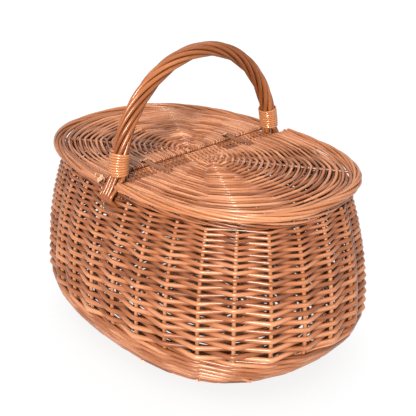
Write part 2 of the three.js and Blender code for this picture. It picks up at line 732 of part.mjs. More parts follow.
// Shares of the handle's line the same distance apart, from the end of the twist to its other end.
function evenShares(count) {
  const samples = 400;
  const start = shareAtHeight(ROPE_FOOT);
  const shareOf = (i) => mix(start, 1 - start, i / samples);
  const lengths = [0];
  for (let i = 1; i <= samples; i++) {
    const step = handlePoint(shareOf(i)).distanceTo(handlePoint(shareOf(i - 1)));
    lengths.push(lengths[i - 1] + step);
  }
  const shares = [];
  let i = 0;
  for (let k = 0; k <= count; k++) {
    const wanted = (lengths[samples] * k) / count;
    while (i < samples - 1 && lengths[i + 1] < wanted) {
      i++;
    }
    shares.push(shareOf(i + (wanted - lengths[i]) / (lengths[i + 1] - lengths[i])));
  }
  return shares;
}

const archShares = evenShares(STRAND_STEPS);
const HANDLE_COLUMNS = [(3 * COLUMNS) / 4, COLUMNS / 4]; // near and far side

// The core where it passes through the rim, from below it to above it.
function coreFoot(side) {
  const column = HANDLE_COLUMNS[side < 0 ? 0 : 1];
  const low = onWall(column, -CORE_INSET, RIM_BOTTOM - OVER);
  const high = new THREE.Vector3(0, side * HANDLE_HALF_SPAN, ARCH_FOOT);
  return [low.setX(0), high];
}

function handleCore() {
  const leg = (side) => {
    const column = HANDLE_COLUMNS[side < 0 ? 0 : 1];
    const tip = onWall(column, -CORE_INSET, CORE_TIP_HEIGHT).setX(0);
    const middle = onWall(column, -CORE_INSET, (CORE_TIP_HEIGHT + RIM_BOTTOM) / 2).setX(0);
    return [tip, middle, ...coreFoot(side)];
  };
  const arch = archShares.map(handlePoint);
  const path = [...leg(-1), ...arch, ...leg(1).reverse()];
  return rodSolid(path, CORE_SIDES, (share) => {
    const toEnd = Math.round(Math.min(share, 1 - share) * (path.length - 1));
    if (toEnd < CORE_TIP_STEPS) {
      return mix(CORE_TIP_RADIUS, CORE_FOOT_RADIUS, toEnd / CORE_TIP_STEPS);
    }
    const rise = Math.max(Math.sin(Math.PI * share), CORE_TAPER_START);
    return mix(CORE_FOOT_RADIUS, CORE_TOP_RADIUS, (rise - CORE_TAPER_START) / (1 - CORE_TAPER_START));
  });
}

// The lower end of a strand: over the rim and down outside the wall, or down onto the rim.
function strandEnd(number, side) {
  const slot = number - (TAILS - 1) / 2;
  const turn = (2 * Math.PI * slot) / STRANDS;
  const column = HANDLE_COLUMNS[side < 0 ? 0 : 1];
  const out = (distance) => side * (HANDLE_HALF_SPAN + distance);
  if (number >= TAILS) {
    const x = ORBIT_FOOT * Math.sin(turn);
    return [new THREE.Vector3(x, out(ORBIT_FOOT * Math.cos(turn)), STANDING_END)];
  }
  const x = slot * TAIL_PITCH;
  const isOutermost = Math.abs(slot) === (TAILS - 1) / 2;
  const knee = isOutermost ? 0 : ORBIT_FOOT * Math.cos(turn / 2);
  const besideWeave = WEAVE_SWELL + SEAT_GAP + TAIL_RADIUS;
  return [
    new THREE.Vector3(x, out(knee), ROPE_FOOT - TAIL_KNEE),
    new THREE.Vector3(x, out((knee + TAIL_BULGE) / 2), RIM_TOP),
    new THREE.Vector3(x, out(TAIL_BULGE), RIM_BOTTOM + TAIL_BULGE_RISE),
    onWall(column, besideWeave, TAIL_END_HEIGHT).setX(x),
  ];
}

// One rod of the rope: up from its end, round the core along the arch, and down to its other end.
function handleStrand(number) {
  const start = (2 * Math.PI * (number - (TAILS - 1) / 2)) / STRANDS;
  const arch = archShares.map((share, i) => {
    const turn = start + (2 * Math.PI * STRAND_TURNS * i) / STRAND_STEPS;
    const orbit = mix(ORBIT_FOOT, ORBIT_TOP, Math.sin((Math.PI * i) / STRAND_STEPS));
    const point = handlePoint(share).addScaledVector(handleOut(share), orbit * Math.cos(turn));
    return point.setX(orbit * Math.sin(turn));
  });
  const near = strandEnd(number, -1).reverse();
  const path = [...near, ...arch, ...strandEnd(number, 1)];
  return rodSolid(path, STRAND_SIDES, (share) => {
    const toEnd = Math.round(Math.min(share, 1 - share) * (path.length - 1));
    const isTail = number < TAILS && toEnd < near.length;
    return isTail ? TAIL_RADIUS : mix(STRAND_FOOT_RADIUS, STRAND_TOP_RADIUS, Math.sin(Math.PI * share));
  });
}

// A coil wound tight round the rope at the foot of the handle.
function binding(side) {
  const orbit = (ROPE_RADIUS + SEAT_GAP + BINDING_RADIUS) / Math.cos(Math.PI / BINDING_STEPS);
  const steps = BINDING_TURNS * BINDING_STEPS;
  const path = [];
  for (let i = 0; i <= steps; i++) {
    const turn = (2 * Math.PI * i) / BINDING_STEPS;
    const share = shareAtHeight(ROPE_FOOT + (BINDING_PITCH * i) / BINDING_STEPS);
    const point = handlePoint(share).addScaledVector(handleOut(share), orbit * Math.cos(turn));
    path.push(new THREE.Vector3(orbit * Math.sin(turn), -side * point.y, point.z));
  }
  const gap = leastGap(path, BINDING_STEPS / 2) - 2 * BINDING_RADIUS;
  console.log("least gap between the turns of a binding: " + gap.toFixed(2) + " mm");
  return rodSolid(path, BINDING_SIDES, () => BINDING_RADIUS);
}

// The least distance between the points of a line that are more than some steps apart.
function leastGap(path, steps) {
  let least = Infinity;
  for (let i = 0; i < path.length; i++) {
    for (let j = i + steps; j < path.length; j++) {
      least = Math.min(least, path[i].distanceTo(path[j]));
    }
  }
  return least;
}

// Assembly

const basket = new THREE.Group();
const willow = (color, roughness) => new THREE.MeshStandardMaterial({ color, roughness, metalness: 0 });
const weaveWillow = willow(0xc98058, 0.55);
const rodWillow = willow(0xd08c62, 0.5);
const handleWillow = willow(0xc87c4c, 0.42);
const bindingWillow = willow(0xd49468, 0.38);
const strapLeather = willow(0xb88a72, 0.6);

function place(group, name, geometry, material) {
  const mesh = new THREE.Mesh(geometry, material);
  mesh.name = name;
  group.add(mesh);
}

place(basket, "base_weave", baseWeave(), weaveWillow);
for (let i = 0; i < BASE_LONG_STICKS; i++) {
  place(basket, "base_long_stick_" + (i + 1), baseLongStick(i, BASE_LONG_RADIUS), rodWillow);
}
for (let i = 0; i < BASE_CROSS_STICKS; i++) {
  place(basket, "base_cross_stick_" + (i + 1), baseCrossStick(i), rodWillow);
}
place(basket, "foot_rows", footRows(), weaveWillow);
place(basket, "side_weave", sideWeave(), weaveWillow);
for (let i = 0; i < STAKES; i++) {
  place(basket, "stake_" + String(i + 1).padStart(2, "0"), stake(i), rodWillow);
}
place(basket, "rim_border", rimBorder(), weaveWillow);

place(basket, "crossbar_stick_left", crossbarStick(-1, 0), rodWillow);
place(basket, "crossbar_stick_right", crossbarStick(1, 0), rodWillow);
place(basket, "crossbar_weave", crossbarWeave(), weaveWillow);
place(basket, "hinge_strap_near", hingeStrap(-1), strapLeather);
place(basket, "hinge_strap_far", hingeStrap(1), strapLeather);

place(basket, "handle_core", handleCore(), handleWillow);
for (let i = 0; i < STRANDS; i++) {
  place(basket, "handle_strand_" + String(i + 1).padStart(2, "0"), handleStrand(i), handleWillow);
}
place(basket, "binding_near", binding(-1), bindingWillow);
place(basket, "binding_far", binding(1), bindingWillow);

for (const [side, turn] of [["right", 0], ["left", Math.PI]]) {
  const lid = new THREE.Group();
  lid.rotation.z = turn;
  place(lid, "lid_border_" + side, lidBorder(), rodWillow);
  place(lid, "lid_sticks_" + side, lidSticks(), rodWillow);
  place(lid, "lid_weave_" + side, lidWeave(), weaveWillow);
  basket.add(lid);
}

export default basket;
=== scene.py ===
"""The looks of the lidded picnic basket: each willow rod of the weave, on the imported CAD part.

Sizes and paths are worked out in millimetres, as in the CAD, and go into the meshes in metres.
X runs along the basket's length, Y along the crossbar, Z up. Places round the wall are given in
columns, two to each stake: stake k stands in column 2k, and column 0 is at the +X end.
"""

import math

import bpy
import numpy as np
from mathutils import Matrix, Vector


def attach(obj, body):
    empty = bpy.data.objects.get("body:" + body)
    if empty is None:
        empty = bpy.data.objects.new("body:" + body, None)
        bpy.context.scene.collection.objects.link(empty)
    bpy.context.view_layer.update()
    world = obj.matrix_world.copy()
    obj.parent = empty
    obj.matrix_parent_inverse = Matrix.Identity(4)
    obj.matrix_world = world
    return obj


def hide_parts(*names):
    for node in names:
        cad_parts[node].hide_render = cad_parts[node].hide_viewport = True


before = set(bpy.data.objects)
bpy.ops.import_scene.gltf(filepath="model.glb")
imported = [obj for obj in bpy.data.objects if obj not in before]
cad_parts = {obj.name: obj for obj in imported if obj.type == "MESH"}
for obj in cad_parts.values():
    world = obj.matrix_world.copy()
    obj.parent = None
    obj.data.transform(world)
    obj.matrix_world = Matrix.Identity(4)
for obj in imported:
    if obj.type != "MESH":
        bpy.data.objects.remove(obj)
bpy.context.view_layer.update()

MM = 0.001
RANDOM = np.random.default_rng(2026)
SEAT_GAP = 0.3
materials = {}  # of the rods, by slot

# Wall, as in the CAD: the oval surface on which the stakes stand, at the foot, bulge and rim
HALF_LENGTHS, HALF_WIDTHS, SQUARENESSES = (172, 241, 213), (136, 173.5, 137), (2.8, 2.3, 2.5)
BULGE_HEIGHT, FOOT_FULLNESS = 68, 2.1

# Rim
RIM_BOTTOM, RIM_TOP = 220.5, 235.5
RIM_MIDDLE = (RIM_BOTTOM + RIM_TOP) / 2
RIM_THICKNESS = 14.5
RIM_ROD_RADIUS, RIM_ROD_TIP = 2.05, 0.26  # of its rods, and how much of that they lose to the tip
RIM_ROD_SPAN, RIM_ROD_STEPS = 12, 60  # columns that a rod runs on for, and steps on the way
RIM_ROD_START, RIM_ROD_TURN, RIM_ROD_STRAY = 236, 300, 0.06  # degrees, degrees, radians

# Stakes
STAKES = 30
COLUMNS = 2 * STAKES
STAKE_FOOT_RADIUS, STAKE_TOP_RADIUS, STAKE_TONES = 2.8, 2.3, (0.55, 1)
STAKE_FOOT_REACH, STAKE_FOOT_LEVEL = 22, 6  # of its end under the base
STAKE_BEND_LEVEL, STAKE_WALL_LEVEL, STAKE_STEP, STAKE_LAP = 12, 22, 9, 3  # of its points above

# Weave of the side
LOW_PITCH, HIGH_PITCH = 6.8, 3.0  # of its rows, above the wale and below the rim
LOW_FULLNESS, HIGH_FULLNESS = 0.49, 0.73  # half height of a weaver over its row's pitch
LOW_DEPTH, HIGH_DEPTH = 1.0, 0.72  # depth of a weaver over its height
WEAVE_STEPS = (0, 0.12, 0.3, 0.6)  # points of a weaver from a stake towards the next column
WEAVE_LAP = (0.2, 0.5)  # and past its first and last stake
WEAVE_BEND = 0.98  # how tight a weaver bends at a stake: 1 is a sharp corner
WEAVE_BITE = 0.5  # how far it presses into a stake
INNER_REACH = 0.78  # of a weaver's reach inside the stakes, over its reach outside
WEAVER_JOINS = ((5, 8), (9, 12))  # pairs of stakes from a row's first weaver to the others
WEAVER_REACHES, WEAVER_LIFTS, WEAVER_TAPER = (0.94, 1.06), (-0.2, 0.2), (1.03, 0.96)
PAINTED_LIGHT_SHADE = (0.26, 0.9)  # painted highlight where a weaver stands out, and painted shade where it lies in: how much lighter and darker
TOP_PAINTED_SHADE = 0.55  # painted shade: how much darker the lightest of its rods are at the top, under the lids
SWAYS = ((0.9, 3, 0, 0.021), (0.6, 7, 1.3, 0.035), (0.45, 13, 4, -0.05))  # size, waves, start, lean
STEADY_FOOT, STEADY_RIM = 22, 24  # heights over which the sway fades out

# Wale: the heavier rounds at the foot and at the bottom of the side
FOOT_TOP, WALE_TOP = 27, 59
FOOT_ROUNDS, SIDE_ROUNDS = 3, 4
WALE_RODS, WALE_RADIUS, WALE_BITE, WALE_TAPER = 3, 2.6, 0.2, (1.04, 0.94)
WALE_REACHES, WALE_SLANTS = (-1.0, 0.9, 1.0), (0, 2.4, -2.4)  # behind a stake, before the next two
WALE_ROUNDING = (0.16, 0.3)
WALE_CUTS = ((47.6, 7, 0.5), (52.3, 13, -0.4), (55.5, 24, 0.6), (8.4, 17, 0.4), (36.7, 21, -0.6))
WALE_CUT_REACH, WALE_CUT_RADIUS = (2.0, 8.6), 2.0  # of the cut ends that stand out at WALE_CUTS

# Base
BASE_MIDDLE, BASE_CROWN, BASE_ROWS, BASE_ROD_RADIUS, BASE_WAVE = 14.2, 3, 21, 2.6, 1.5
BASE_EDGE, BASE_FIRST_ROW = 6.0, 1.2  # in from the wall, and from the middle in rows
BASE_RADIALS, BASE_RADIAL_RADIUS, BASE_RADIAL_EDGE = 24, 1.9, 7.0

# Lids
LID_HALF_LENGTH, LID_HALF_WIDTH, LID_SQUARENESS = 230, 156.5, 2.5
LID_BORDER, LID_LEVEL = 12, 241.8
HINGE_PLACE, HINGE_LEVEL, HINGE_BORE = 20.4, 240.8, 3.2
HINGE_ROD_RADIUS, HINGE_ROD_LEVEL = 2.2, 239.8
WRAP_THICKNESS, WRAP_TURN, WRAP_STEPS, WRAP_DRIFT = 2.0, (90, 275), 12, 1.6  # round the hinge rod
HINGE_ROOM, STRAP_ROOM, STRAP_SIDE_ROOM = 1.5, 8.5, 3.4  # where rows end at the rod and the straps
LID_STICK_ANGLES = (-62, -32, 0, 32, 62)
# The lid's sticks get low tones: painted shade where they show between its rows
LID_STICK_RADIUS, LID_STICK_LEVEL, LID_STICK_PAINTED_SHADE_TONES = 2.0, 240.4, (-0.5, -0.2)
LID_ROWS, LID_ROW_STEPS, LID_ROD_RADIUS = 47, 150, 1.45
LID_LAP = 1.5  # of rows and sticks into the border
LID_WAVE, LID_WAVE_BLEND = 2.3, (0.7, 0.3)  # over and under the sticks: size, round and straight
LID_END, LID_END_LIFT = (-0.35, 0.6), 3  # sticks over which a row runs up to the hinge rod
LID_STRAIGHTNESS = 0.34  # of a row between two sticks
LID_STRAYS = ((0.16, 1.7, 2.3), (0.1, 4.3, 5.1))  # of a row: size, per stick, per row
LID_OUTER, LID_OUTER_WAVE = 0.82, 0.3  # share of the rows from which they flatten, and how much
LID_FULLNESS = 0.51  # of a lid's weave: half width of a rod over the rows' spacing
LID_PINCH = 0.32  # most that a rod of a lid narrows, here and there along it
LID_PINCHES = (8, 2.6)  # how often: by radians round the hinge, and by row
LID_FLAT, LID_ROUND = HINGE_PLACE + 2, HINGE_PLACE + 14  # up to and from where its rods are so
# Lid rods: painted highlight where they pass up over a stick and painted shade where they pass
# down; then their own tones
LID_PAINTED_LIGHT_SHADE, LID_TONES = (0.25, 0.6), (0.1, 1)
LID_ROD_STRAY, LID_FULLNESS_STRAY, LID_ROD_TAPER = (0.86, 1.1), (0.84, 1.08), (1.03, 0.95)
LID_WHOLE_ROWS, LID_JOIN_PLACE = 0.3, (0.3, 0.7)  # rows that are one rod, and where others join
BORDER_RODS, BORDER_ROD_RADIUS, BORDER_CORE_RADIUS, BORDER_TWIST = 6, 1.95, 2.3, 270
BORDER_SWAY, BORDER_STEPS = (0.16, 47), 200  # of the twist: radians, and mm along the border
BORDER_ROD_STRAY, BORDER_SHORT = (0.92, 1.04), (1, 4)  # of its rods: thickness, steps cut off
LID_INNER_RADIUS, LID_INNER_INSET, LID_INNER_DROP = 2.5, 13.6, 0.8  # of its innermost rod
# Thick rods at its near end: turns round it, radius, steps along it, share left at the tip
LID_BUTTS, LID_BUTT_RADIUS, LID_BUTT_STEPS, LID_BUTT_TIP = (0.1, 1.75), 2.7, 14, 0.7

# Crossbar and its straps
BAR_LEVEL, BAR_HALF_WIDTH, BAR_HALF_LENGTH, BAR_HALF_THICKNESS = 237.1, 13.6, 129.15, 4.6
BAR_TOP = BAR_LEVEL + BAR_HALF_THICKNESS
BAR_BOTTOM = BAR_LEVEL - BAR_HALF_THICKNESS
BAR_STICK_RADIUS, BAR_STICK_PLACE, BAR_STICK_LAP, BAR_MIDDLE_RADIUS = 2.8, 9.2, 9, 1.9
BAR_STEPS = 30
BAR_ROWS, BAR_SKEIN_THICKNESS, BAR_SKEINS = 78, 1.8, 12
BAR_SKEIN_FULLNESS, BAR_BEAD_FULLNESS = 0.56, 0.42  # half width over pitch, and more at a bend
STRAP_OFFSET, STRAP_WIDTH, STRAP_THICKNESS, STRAP_WAIST = 74, 8, 1.4, 3
STRAP_LANE = 1.02  # place of each of its two skeins over half the strap's half width

# Handle
HANDLE_COLUMNS = {-1: 45, 1: 15}  # by the side in Y
HANDLE_HALF_SPAN, HANDLE_TOP, ARCH_FOOT, ROPE_FOOT = 137, 382.5, 236.5, 250
HANDLE_BULGE_WIDTH = 0.72  # columns
STRANDS, STRAND_TURNS, STRAND_STEPS, STRAND_SMOOTHING = 7, 2, 72, 4
STRAND_FOOT_RADIUS, STRAND_TOP_RADIUS, STRAND_TONES = 3.0, 2.8, (0.15, 0.85)
ORBIT_FOOT, ORBIT_TOP = 8, 7.2
TAILS, TAIL_RADIUS, TAIL_PITCH, TAIL_KNEE = 5, 2.4, 5.1, 3.2
TAIL_BULGE, TAIL_BULGE_RISE = 21, 4  # where the tails bend over the rim
# Below that, their heights and distances from the wall
TAIL_LINE = ((217, 10.2), (212, 5.0), (207, 1.8), (202, 0.2), (197, 0))
TAIL_COVER, TAIL_BITE, CORE_COVER = 212.5, 0.4, 3.2  # where and how the weave covers the tails
BINDING_TURNS, BINDING_PITCH, BINDING_THICKNESS, BINDING_STEPS = 9, 3.1, 1.9, 24
BINDING_LAP, BINDING_DIVE = 1.04, 2.4  # width over pitch, and how far its ends go in
BINDING_END = (-0.02, 0.16)  # turns in which they do

# Willow by slot: its dark, middle and light shade, its roughness and its varnish
WILLOWS = {
    "weave_willow": (
        ((0.062, 0.015, 0.0045), (0.228, 0.069, 0.0235), (0.46, 0.196, 0.096)), 0.34, 0.18
    ),
    "rod_willow": (((0.14, 0.04, 0.012), (0.295, 0.1, 0.037), (0.47, 0.21, 0.104)), 0.34, 0.18),
    "handle_willow": (((0.1, 0.024, 0.005), (0.205, 0.058, 0.016), (0.35, 0.122, 0.04)), 0.3, 0.14),
    "binding_skein": (((0.2, 0.057, 0.016), (0.32, 0.107, 0.034), (0.44, 0.19, 0.078)), 0.17, 0.5),
    "strap_skein": (((0.1, 0.032, 0.012), (0.19, 0.066, 0.026), (0.29, 0.115, 0.052)), 0.42, 0.1),
}
CORE_SHADES = ((0.19, 0.067, 0.026), (0.32, 0.132, 0.057))
SHADE_PLACES, CORE_PLACES, MARK_PLACES = (0.28, 0.56, 0.86), (0.35, 0.68), (0.7, 0.8)
# Noise: metres along and across the rod, detail
MOTTLE, STREAKS, MARKS = (0.045, 0.004, 3.0), (0.012, 0.0006, 4.0), (0.006, 0.0022, 1.0)
CORE_STREAKS = (0.004, 0.004, 4.0)
MARK_SHADE, CUT_SHADE = (0.42, 0.28, 0.2, 1), (0.74, 0.52, 0.36, 1)
VARNISH_ROUGHNESS, SHINE_TINT = 0.22, (1, 0.84, 0.7, 1)
RELIEF, CORE_RELIEF = (0.55, 0.00012), (0.4, 0.0002)  # strength, distance in metres

# Studio
CAMERA_LENS, CAMERA_SENSOR = 71.0, 36
CAMERA_PLACE, CAMERA_TARGET = (0.7670, -0.6979, 0.6376), (0.0065, 0.0100, 0.1594)
WORLD_STRENGTH = 0.4
FLOOR_HALF, FLOOR_SHADE, FLOOR_ROUGHNESS, FLOOR_GLOW = 14, (0.18, 0.183, 0.186, 1), 0.8, 0.86
LAMPS = (  # name, place, size, watts, colour
    ("key", (1.1, -1.55, 1.1), 0.45, 88, (1, 0.985, 0.97)),
    ("side", (1.7, 0.5, 0.9), 0.9, 8, (1, 0.99, 0.97)),
)
LAMP_TARGET = (0, 0, 0.15)
SKY_STRENGTH, SKY_ANGLE, SKY_DIRECTION = 1.85, 95, (0.25, -0.2, -1.0)


# Lines


def xyz(x, y, z):
    return np.stack(np.broadcast_arrays(x, y, z), -1)


def spread(values, shape):
    return np.broadcast_to(np.asarray(values, float), shape)


def unit(vectors):
    return vectors / np.maximum(np.linalg.norm(vectors, axis=-1, keepdims=True), 1e-9)


def lengths_along(line):
    """The length of a line up to each of its points."""
    steps = np.linalg.norm(np.diff(line, axis=0), axis=1)
    return np.concatenate([[0], np.cumsum(steps)])


def carried_along(tangents):
    """A direction square to a line, carried along it without twist."""
    start = np.array([1.0, 0, 0]) if abs(tangents[0][0]) < 0.8 else np.array([0, 1.0, 0])
    normals = np.empty_like(tangents)
    for i, tangent in enumerate(tangents):
        start = start - tangent * start.dot(tangent)
        start /= np.linalg.norm(start)
        normals[i] = start
    return normals


def smooth_line(points, steps):
    """A curve through all points, with a number of steps between each two."""
    points = np.asarray(points, float)
    ends = np.vstack([2 * points[0] - points[1], points, 2 * points[-1] - points[-2]])
    share = np.arange(steps)[:, None] / steps
    made = []
    for a, b, c, d in zip(ends, ends[1:], ends[2:], ends[3:]):
        slope, bow, turn = c - a, 2 * a - 5 * b + 4 * c - d, 3 * b - a - 3 * c + d
        made.append(0.5 * (2 * b + slope * share + bow * share**2 + turn * share**3))
    return np.vstack([*made, points[-1:]])


def with_pairs(points, first, second):
    """The ends of a line, with pairs of other points between them."""
    pairs = np.stack([first, second], 1).reshape(-1, 3)
    return np.vstack([points[:1], pairs, points[-1:]])


def cut_corners(points, *nears):
    """A line with its corners cut at these shares of the way to the next points, in turn."""
    for near in nears:
        before, corner, after = points[:-2], points[1:-1], points[2:]
        cuts = corner + (before - corner) * near, corner + (after - corner) * near
        points = with_pairs(points, *cuts)
    return points


def eased_line(points):
    """A line with a quarter cut off at both ends of each stretch."""
    before, after = points[:-1], points[1:]
    return with_pairs(points, 0.75 * before + 0.25 * after, 0.25 * before + 0.75 * after)


def ramp(value, low, high):
    share = np.clip((np.asarray(value, float) - low) / (high - low), 0, 1)
    return share * share * (3 - 2 * share)


# Rods: the one shape that everything here is made of


class Rods:
    """Rods that become one mesh, with what the willow material reads:
    grain (metres along and across the rod), tone (its own shade, with painted highlight and
    painted shade on some rods) and cut (1 on a cut end)."""

    def __init__(self):
        self.points, self.grain, self.tone, self.cut = [], [], [], []
        self.faces, self.strips = [], []
        self.count = 0

    def add(self, path, radius, tone=None, sides=8, facing=None, flatness=1.0, is_closed=False):
        """One rod along a path. facing is the direction of its flat side, flatness its thickness
        over its width."""
        path = np.asarray(path, float)
        number = len(path)
        radius, flatness = spread(radius, (number,)), spread(flatness, (number,))
        if is_closed:
            tangents = unit(np.roll(path, -1, 0) - np.roll(path, 1, 0))
        else:
            tangents = unit(np.gradient(path, axis=0))
        if facing is None:
            normals = carried_along(tangents)
        else:
            facing = spread(facing, path.shape)
            normals = unit(facing - tangents * (facing * tangents).sum(1, keepdims=True))
        across = np.cross(tangents, normals)
        turns = 2 * np.pi * np.arange(sides) / sides
        ring = normals[:, None] * (flatness[:, None] * np.cos(turns))[:, :, None]
        ring = ring + across[:, None] * np.sin(turns)[None, :, None]
        points = path[:, None] + ring * radius[:, None, None]
        along = lengths_along(path)
        wide = radius[:, None]
        start = (along + RANDOM.uniform(0, 5000))[:, None]
        grain = xyz(start, wide * np.cos(turns), wide * np.sin(turns))
        if tone is None:
            tone = RANDOM.uniform(0, 1)
        tone = spread(tone, (number,))
        self._store(points, grain, np.repeat(tone, sides), 0)
        self._skin(number, sides, is_closed)
        self.strips.append((sides, 2 * np.pi * radius.max(), along, is_closed))
        if not is_closed:
            for end in (0, -1):
                self._cap(points[end], path[end], grain[end], radius[end], tone[end], end == 0)

    def _store(self, points, grain, tone, cut):
        flat = points.reshape(-1, 3)
        self.points.append(flat)
        self.grain.append(grain.reshape(-1, 3))
        self.tone.append(spread(tone, (len(flat),)))
        self.cut.append(np.full(len(flat), float(cut)))

    def _skin(self, number, sides, is_closed):
        last = number if is_closed else number - 1
        i, k = np.meshgrid(np.arange(last), np.arange(sides), indexing="ij")
        here, after = i * sides, (i + 1) % number * sides
        beside = (k + 1) % sides
        quads = np.stack([here + k, here + beside, after + beside, after + k], -1)
        self.faces.append((quads.reshape(-1, 4) + self.count, 4))
        self.count += number * sides

    def _cap(self, ring, middle, grain, radius, tone, is_first):
        sides = len(ring)
        self._store(np.vstack([ring, middle]), np.vstack([grain, grain.mean(0)]), tone, 1)
        self.cut[-1][-1] = 0.6  # a little darker in the middle, where the pith is
        k = np.arange(sides)
        around = (k + 1) % sides
        centre = np.full(sides, sides)
        fan = np.stack([centre, around, k] if is_first else [centre, k, around], -1)
        self.faces.append((fan + self.count, 3))
        self.strips.append((sides, 2 * radius, None, False))
        self.count += sides + 1

    def _uv(self):
        """Rods unrolled side by side in strips, for a map of the whole mesh. A cap's strip has
        no along."""
        _, girths, alongs, _ = zip(*self.strips)
        area = sum(g * (g if along is None else along[-1]) for g, along in zip(girths, alongs))
        tallest = max(girths)
        gap = tallest * 0.06
        size = math.sqrt(area * 1.12) + 2 * tallest
        x, y = 0.0, 0.0
        uvs = []
        for sides, girth, along, is_closed in self.strips:
            if along is None:
                radius = girth / 2
                if x + girth > size:
                    x, y = 0.0, y + tallest + gap
                turns = 2 * np.pi * np.arange(sides) / sides
                disc = [x, y] + radius * (1 + np.stack([np.cos(turns), np.sin(turns)], -1))
                centre = np.broadcast_to([x + radius, y + radius], disc.shape)
                uvs.append(np.stack([centre, disc, np.roll(disc, -1, 0)], 1).reshape(-1, 2))
                x += girth + gap
                continue
            lengths = np.diff(along)
            if is_closed:
                lengths = np.append(lengths, lengths.mean())
            corners = np.empty((len(lengths), sides, 4, 2))
            shares = np.arange(sides + 1) / sides * girth
            rise = np.stack([shares[:-1], shares[1:], shares[1:], shares[:-1]], -1)
            for corner, length in zip(corners, lengths):
                if x + length > size:
                    x, y = 0.0, y + tallest + gap
                corner[..., 0] = [x, x, x + length, x + length]
                corner[..., 1] = y + rise
                x += length
            uvs.append(corners.reshape(-1, 2))
            x += gap
        return np.vstack(uvs) / max(size, y + tallest)

    def piece(self, name, slot, nodes, body="basket"):
        """The mesh object: it rides on a body and stands for CAD nodes."""
        mesh = bpy.data.meshes.new(name)
        points = np.vstack(self.points) * MM
        mesh.vertices.add(len(points))
        mesh.vertices.foreach_set("co", points.ravel())
        loops = np.concatenate([faces.ravel() for faces, _ in self.faces])
        totals = np.concatenate([np.full(len(faces), size) for faces, size in self.faces])
        mesh.loops.add(len(loops))
        mesh.loops.foreach_set("vertex_index", loops)
        mesh.polygons.add(len(totals))
        mesh.polygons.foreach_set("loop_start", np.concatenate([[0], np.cumsum(totals)[:-1]]))
        mesh.polygons.foreach_set("use_smooth", np.ones(len(totals), bool))
        grain = mesh.attributes.new("grain", "FLOAT_VECTOR", "POINT")
        grain.data.foreach_set("vector", (np.vstack(self.grain) * MM).ravel())
        for label, values in (("tone", self.tone), ("cut", self.cut)):
            attribute = mesh.attributes.new(label, "FLOAT", "POINT")
            attribute.data.foreach_set("value", np.concatenate(values))
        mesh.uv_layers.new(name="OFBake").data.foreach_set("uv", self._uv().ravel())
        mesh.update(calc_edges=True)
        mesh.materials.append(materials[slot])
        made = in_scene(name, mesh)
        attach(made, body)
        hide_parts(*nodes)


def in_scene(name, data):
    made = bpy.data.objects.new(name, data)
    bpy.context.scene.collection.objects.link(made)
    return made


# Wall


def signed_power(value, power):
    return np.sign(value) * np.abs(value) ** power


def wall_at(height):
    """Half length, half width and squareness of the wall's oval at a height."""
    height = np.asarray(height, float)
    low = 1 - np.clip(1 - np.clip(height, 0, None) / BULGE_HEIGHT, 0, 1) ** FOOT_FULLNESS
    high = (np.clip(height - BULGE_HEIGHT, 0, None) / (RIM_MIDDLE - BULGE_HEIGHT)) ** 2
    is_low = height < BULGE_HEIGHT

    def between(foot, bulge, rim):
        return np.where(is_low, foot + (bulge - foot) * low, bulge + (rim - bulge) * high)

    return tuple(between(*sizes) for sizes in (HALF_LENGTHS, HALF_WIDTHS, SQUARENESSES))


def oval_point(oval, angle, offset, height):
    """A point of an oval at an angle, moved out square to it by an offset."""
    half_length, half_width, squareness = oval
    x = half_length * signed_power(np.cos(angle), 2 / squareness)
    y = half_width * signed_power(np.sin(angle), 2 / squareness)
    out_x = signed_power(x / half_length, squareness - 1) / half_length
    out_y = signed_power(y / half_width, squareness - 1) / half_width
    reach = offset / np.hypot(out_x, out_y)
    return xyz(x + out_x * reach, y + out_y * reach, height)


def column_table(samples=14400):
    """Angles and the columns they lie at, where columns share the bulge's length evenly."""
    angles = 2 * np.pi * np.arange(samples + 1) / samples
    lengths = lengths_along(oval_point(wall_at(BULGE_HEIGHT), angles, 0, 0))
    return lengths / lengths[-1] * COLUMNS, angles


TABLE_COLUMNS, TABLE_ANGLES = column_table()


def angle_of(column):
    return np.interp(np.asarray(column, float) % COLUMNS, TABLE_COLUMNS, TABLE_ANGLES)


def on_wall(column, offset, height):
    """A point beside the wall, an offset away measured square to the wall, and that direction."""
    angle = angle_of(column)
    height = np.asarray(height, float) + np.zeros_like(angle)
    here = oval_point(wall_at(height), angle, 0.0, height)
    outward = oval_point(wall_at(height), angle, 1.0, height) - here
    step = 0.5
    rise = unit(oval_point(wall_at(height + step), angle, 0.0, height + step) - here)
    lean = (outward * rise).sum(-1)
    moved = here + outward * (offset / np.sqrt(1 - lean * lean))[..., None]
    return moved, unit(outward - rise * lean[..., None])


def row_heights():
    """Heights and pitches of the weave's rows: taller ones low on the wall."""
    bottom, top = WALE_TOP, RIM_BOTTOM + 1
    span = top - bottom
    rows = round(span / (LOW_PITCH - HIGH_PITCH) * math.log(LOW_PITCH / HIGH_PITCH))
    grading = HIGH_PITCH / LOW_PITCH
    edges = bottom + span * (1 - grading ** (np.arange(rows + 1) / rows)) / (1 - grading)
    return (edges[1:] + edges[:-1]) / 2, np.diff(edges)


def sway(column, height):
    """How far rows stray up and down, the same for neighbours, and not at all at foot and rim."""
    turn = 2 * np.pi * np.asarray(column) / COLUMNS
    stray = sum(size * np.sin(n * turn + start + lean * height) for size, n, start, lean in SWAYS)
    at_foot = ramp(height, FOOT_TOP, FOOT_TOP + STEADY_FOOT)
    return stray * at_foot * (1 - ramp(height, RIM_BOTTOM - STEADY_RIM, RIM_BOTTOM))


def stake_radius(height):
    share = np.clip(np.asarray(height, float) / RIM_BOTTOM, 0, 1)
    return STAKE_FOOT_RADIUS + (STAKE_TOP_RADIUS - STAKE_FOOT_RADIUS) * share


def handle_bulge(column):
    """1 where the handle's core and tails go down into the wall, 0 away from them."""
    away = [np.abs(column % COLUMNS - place) for place in HANDLE_COLUMNS.values()]
    return np.exp(-((np.minimum(*away) / HANDLE_BULGE_WIDTH) ** 4))


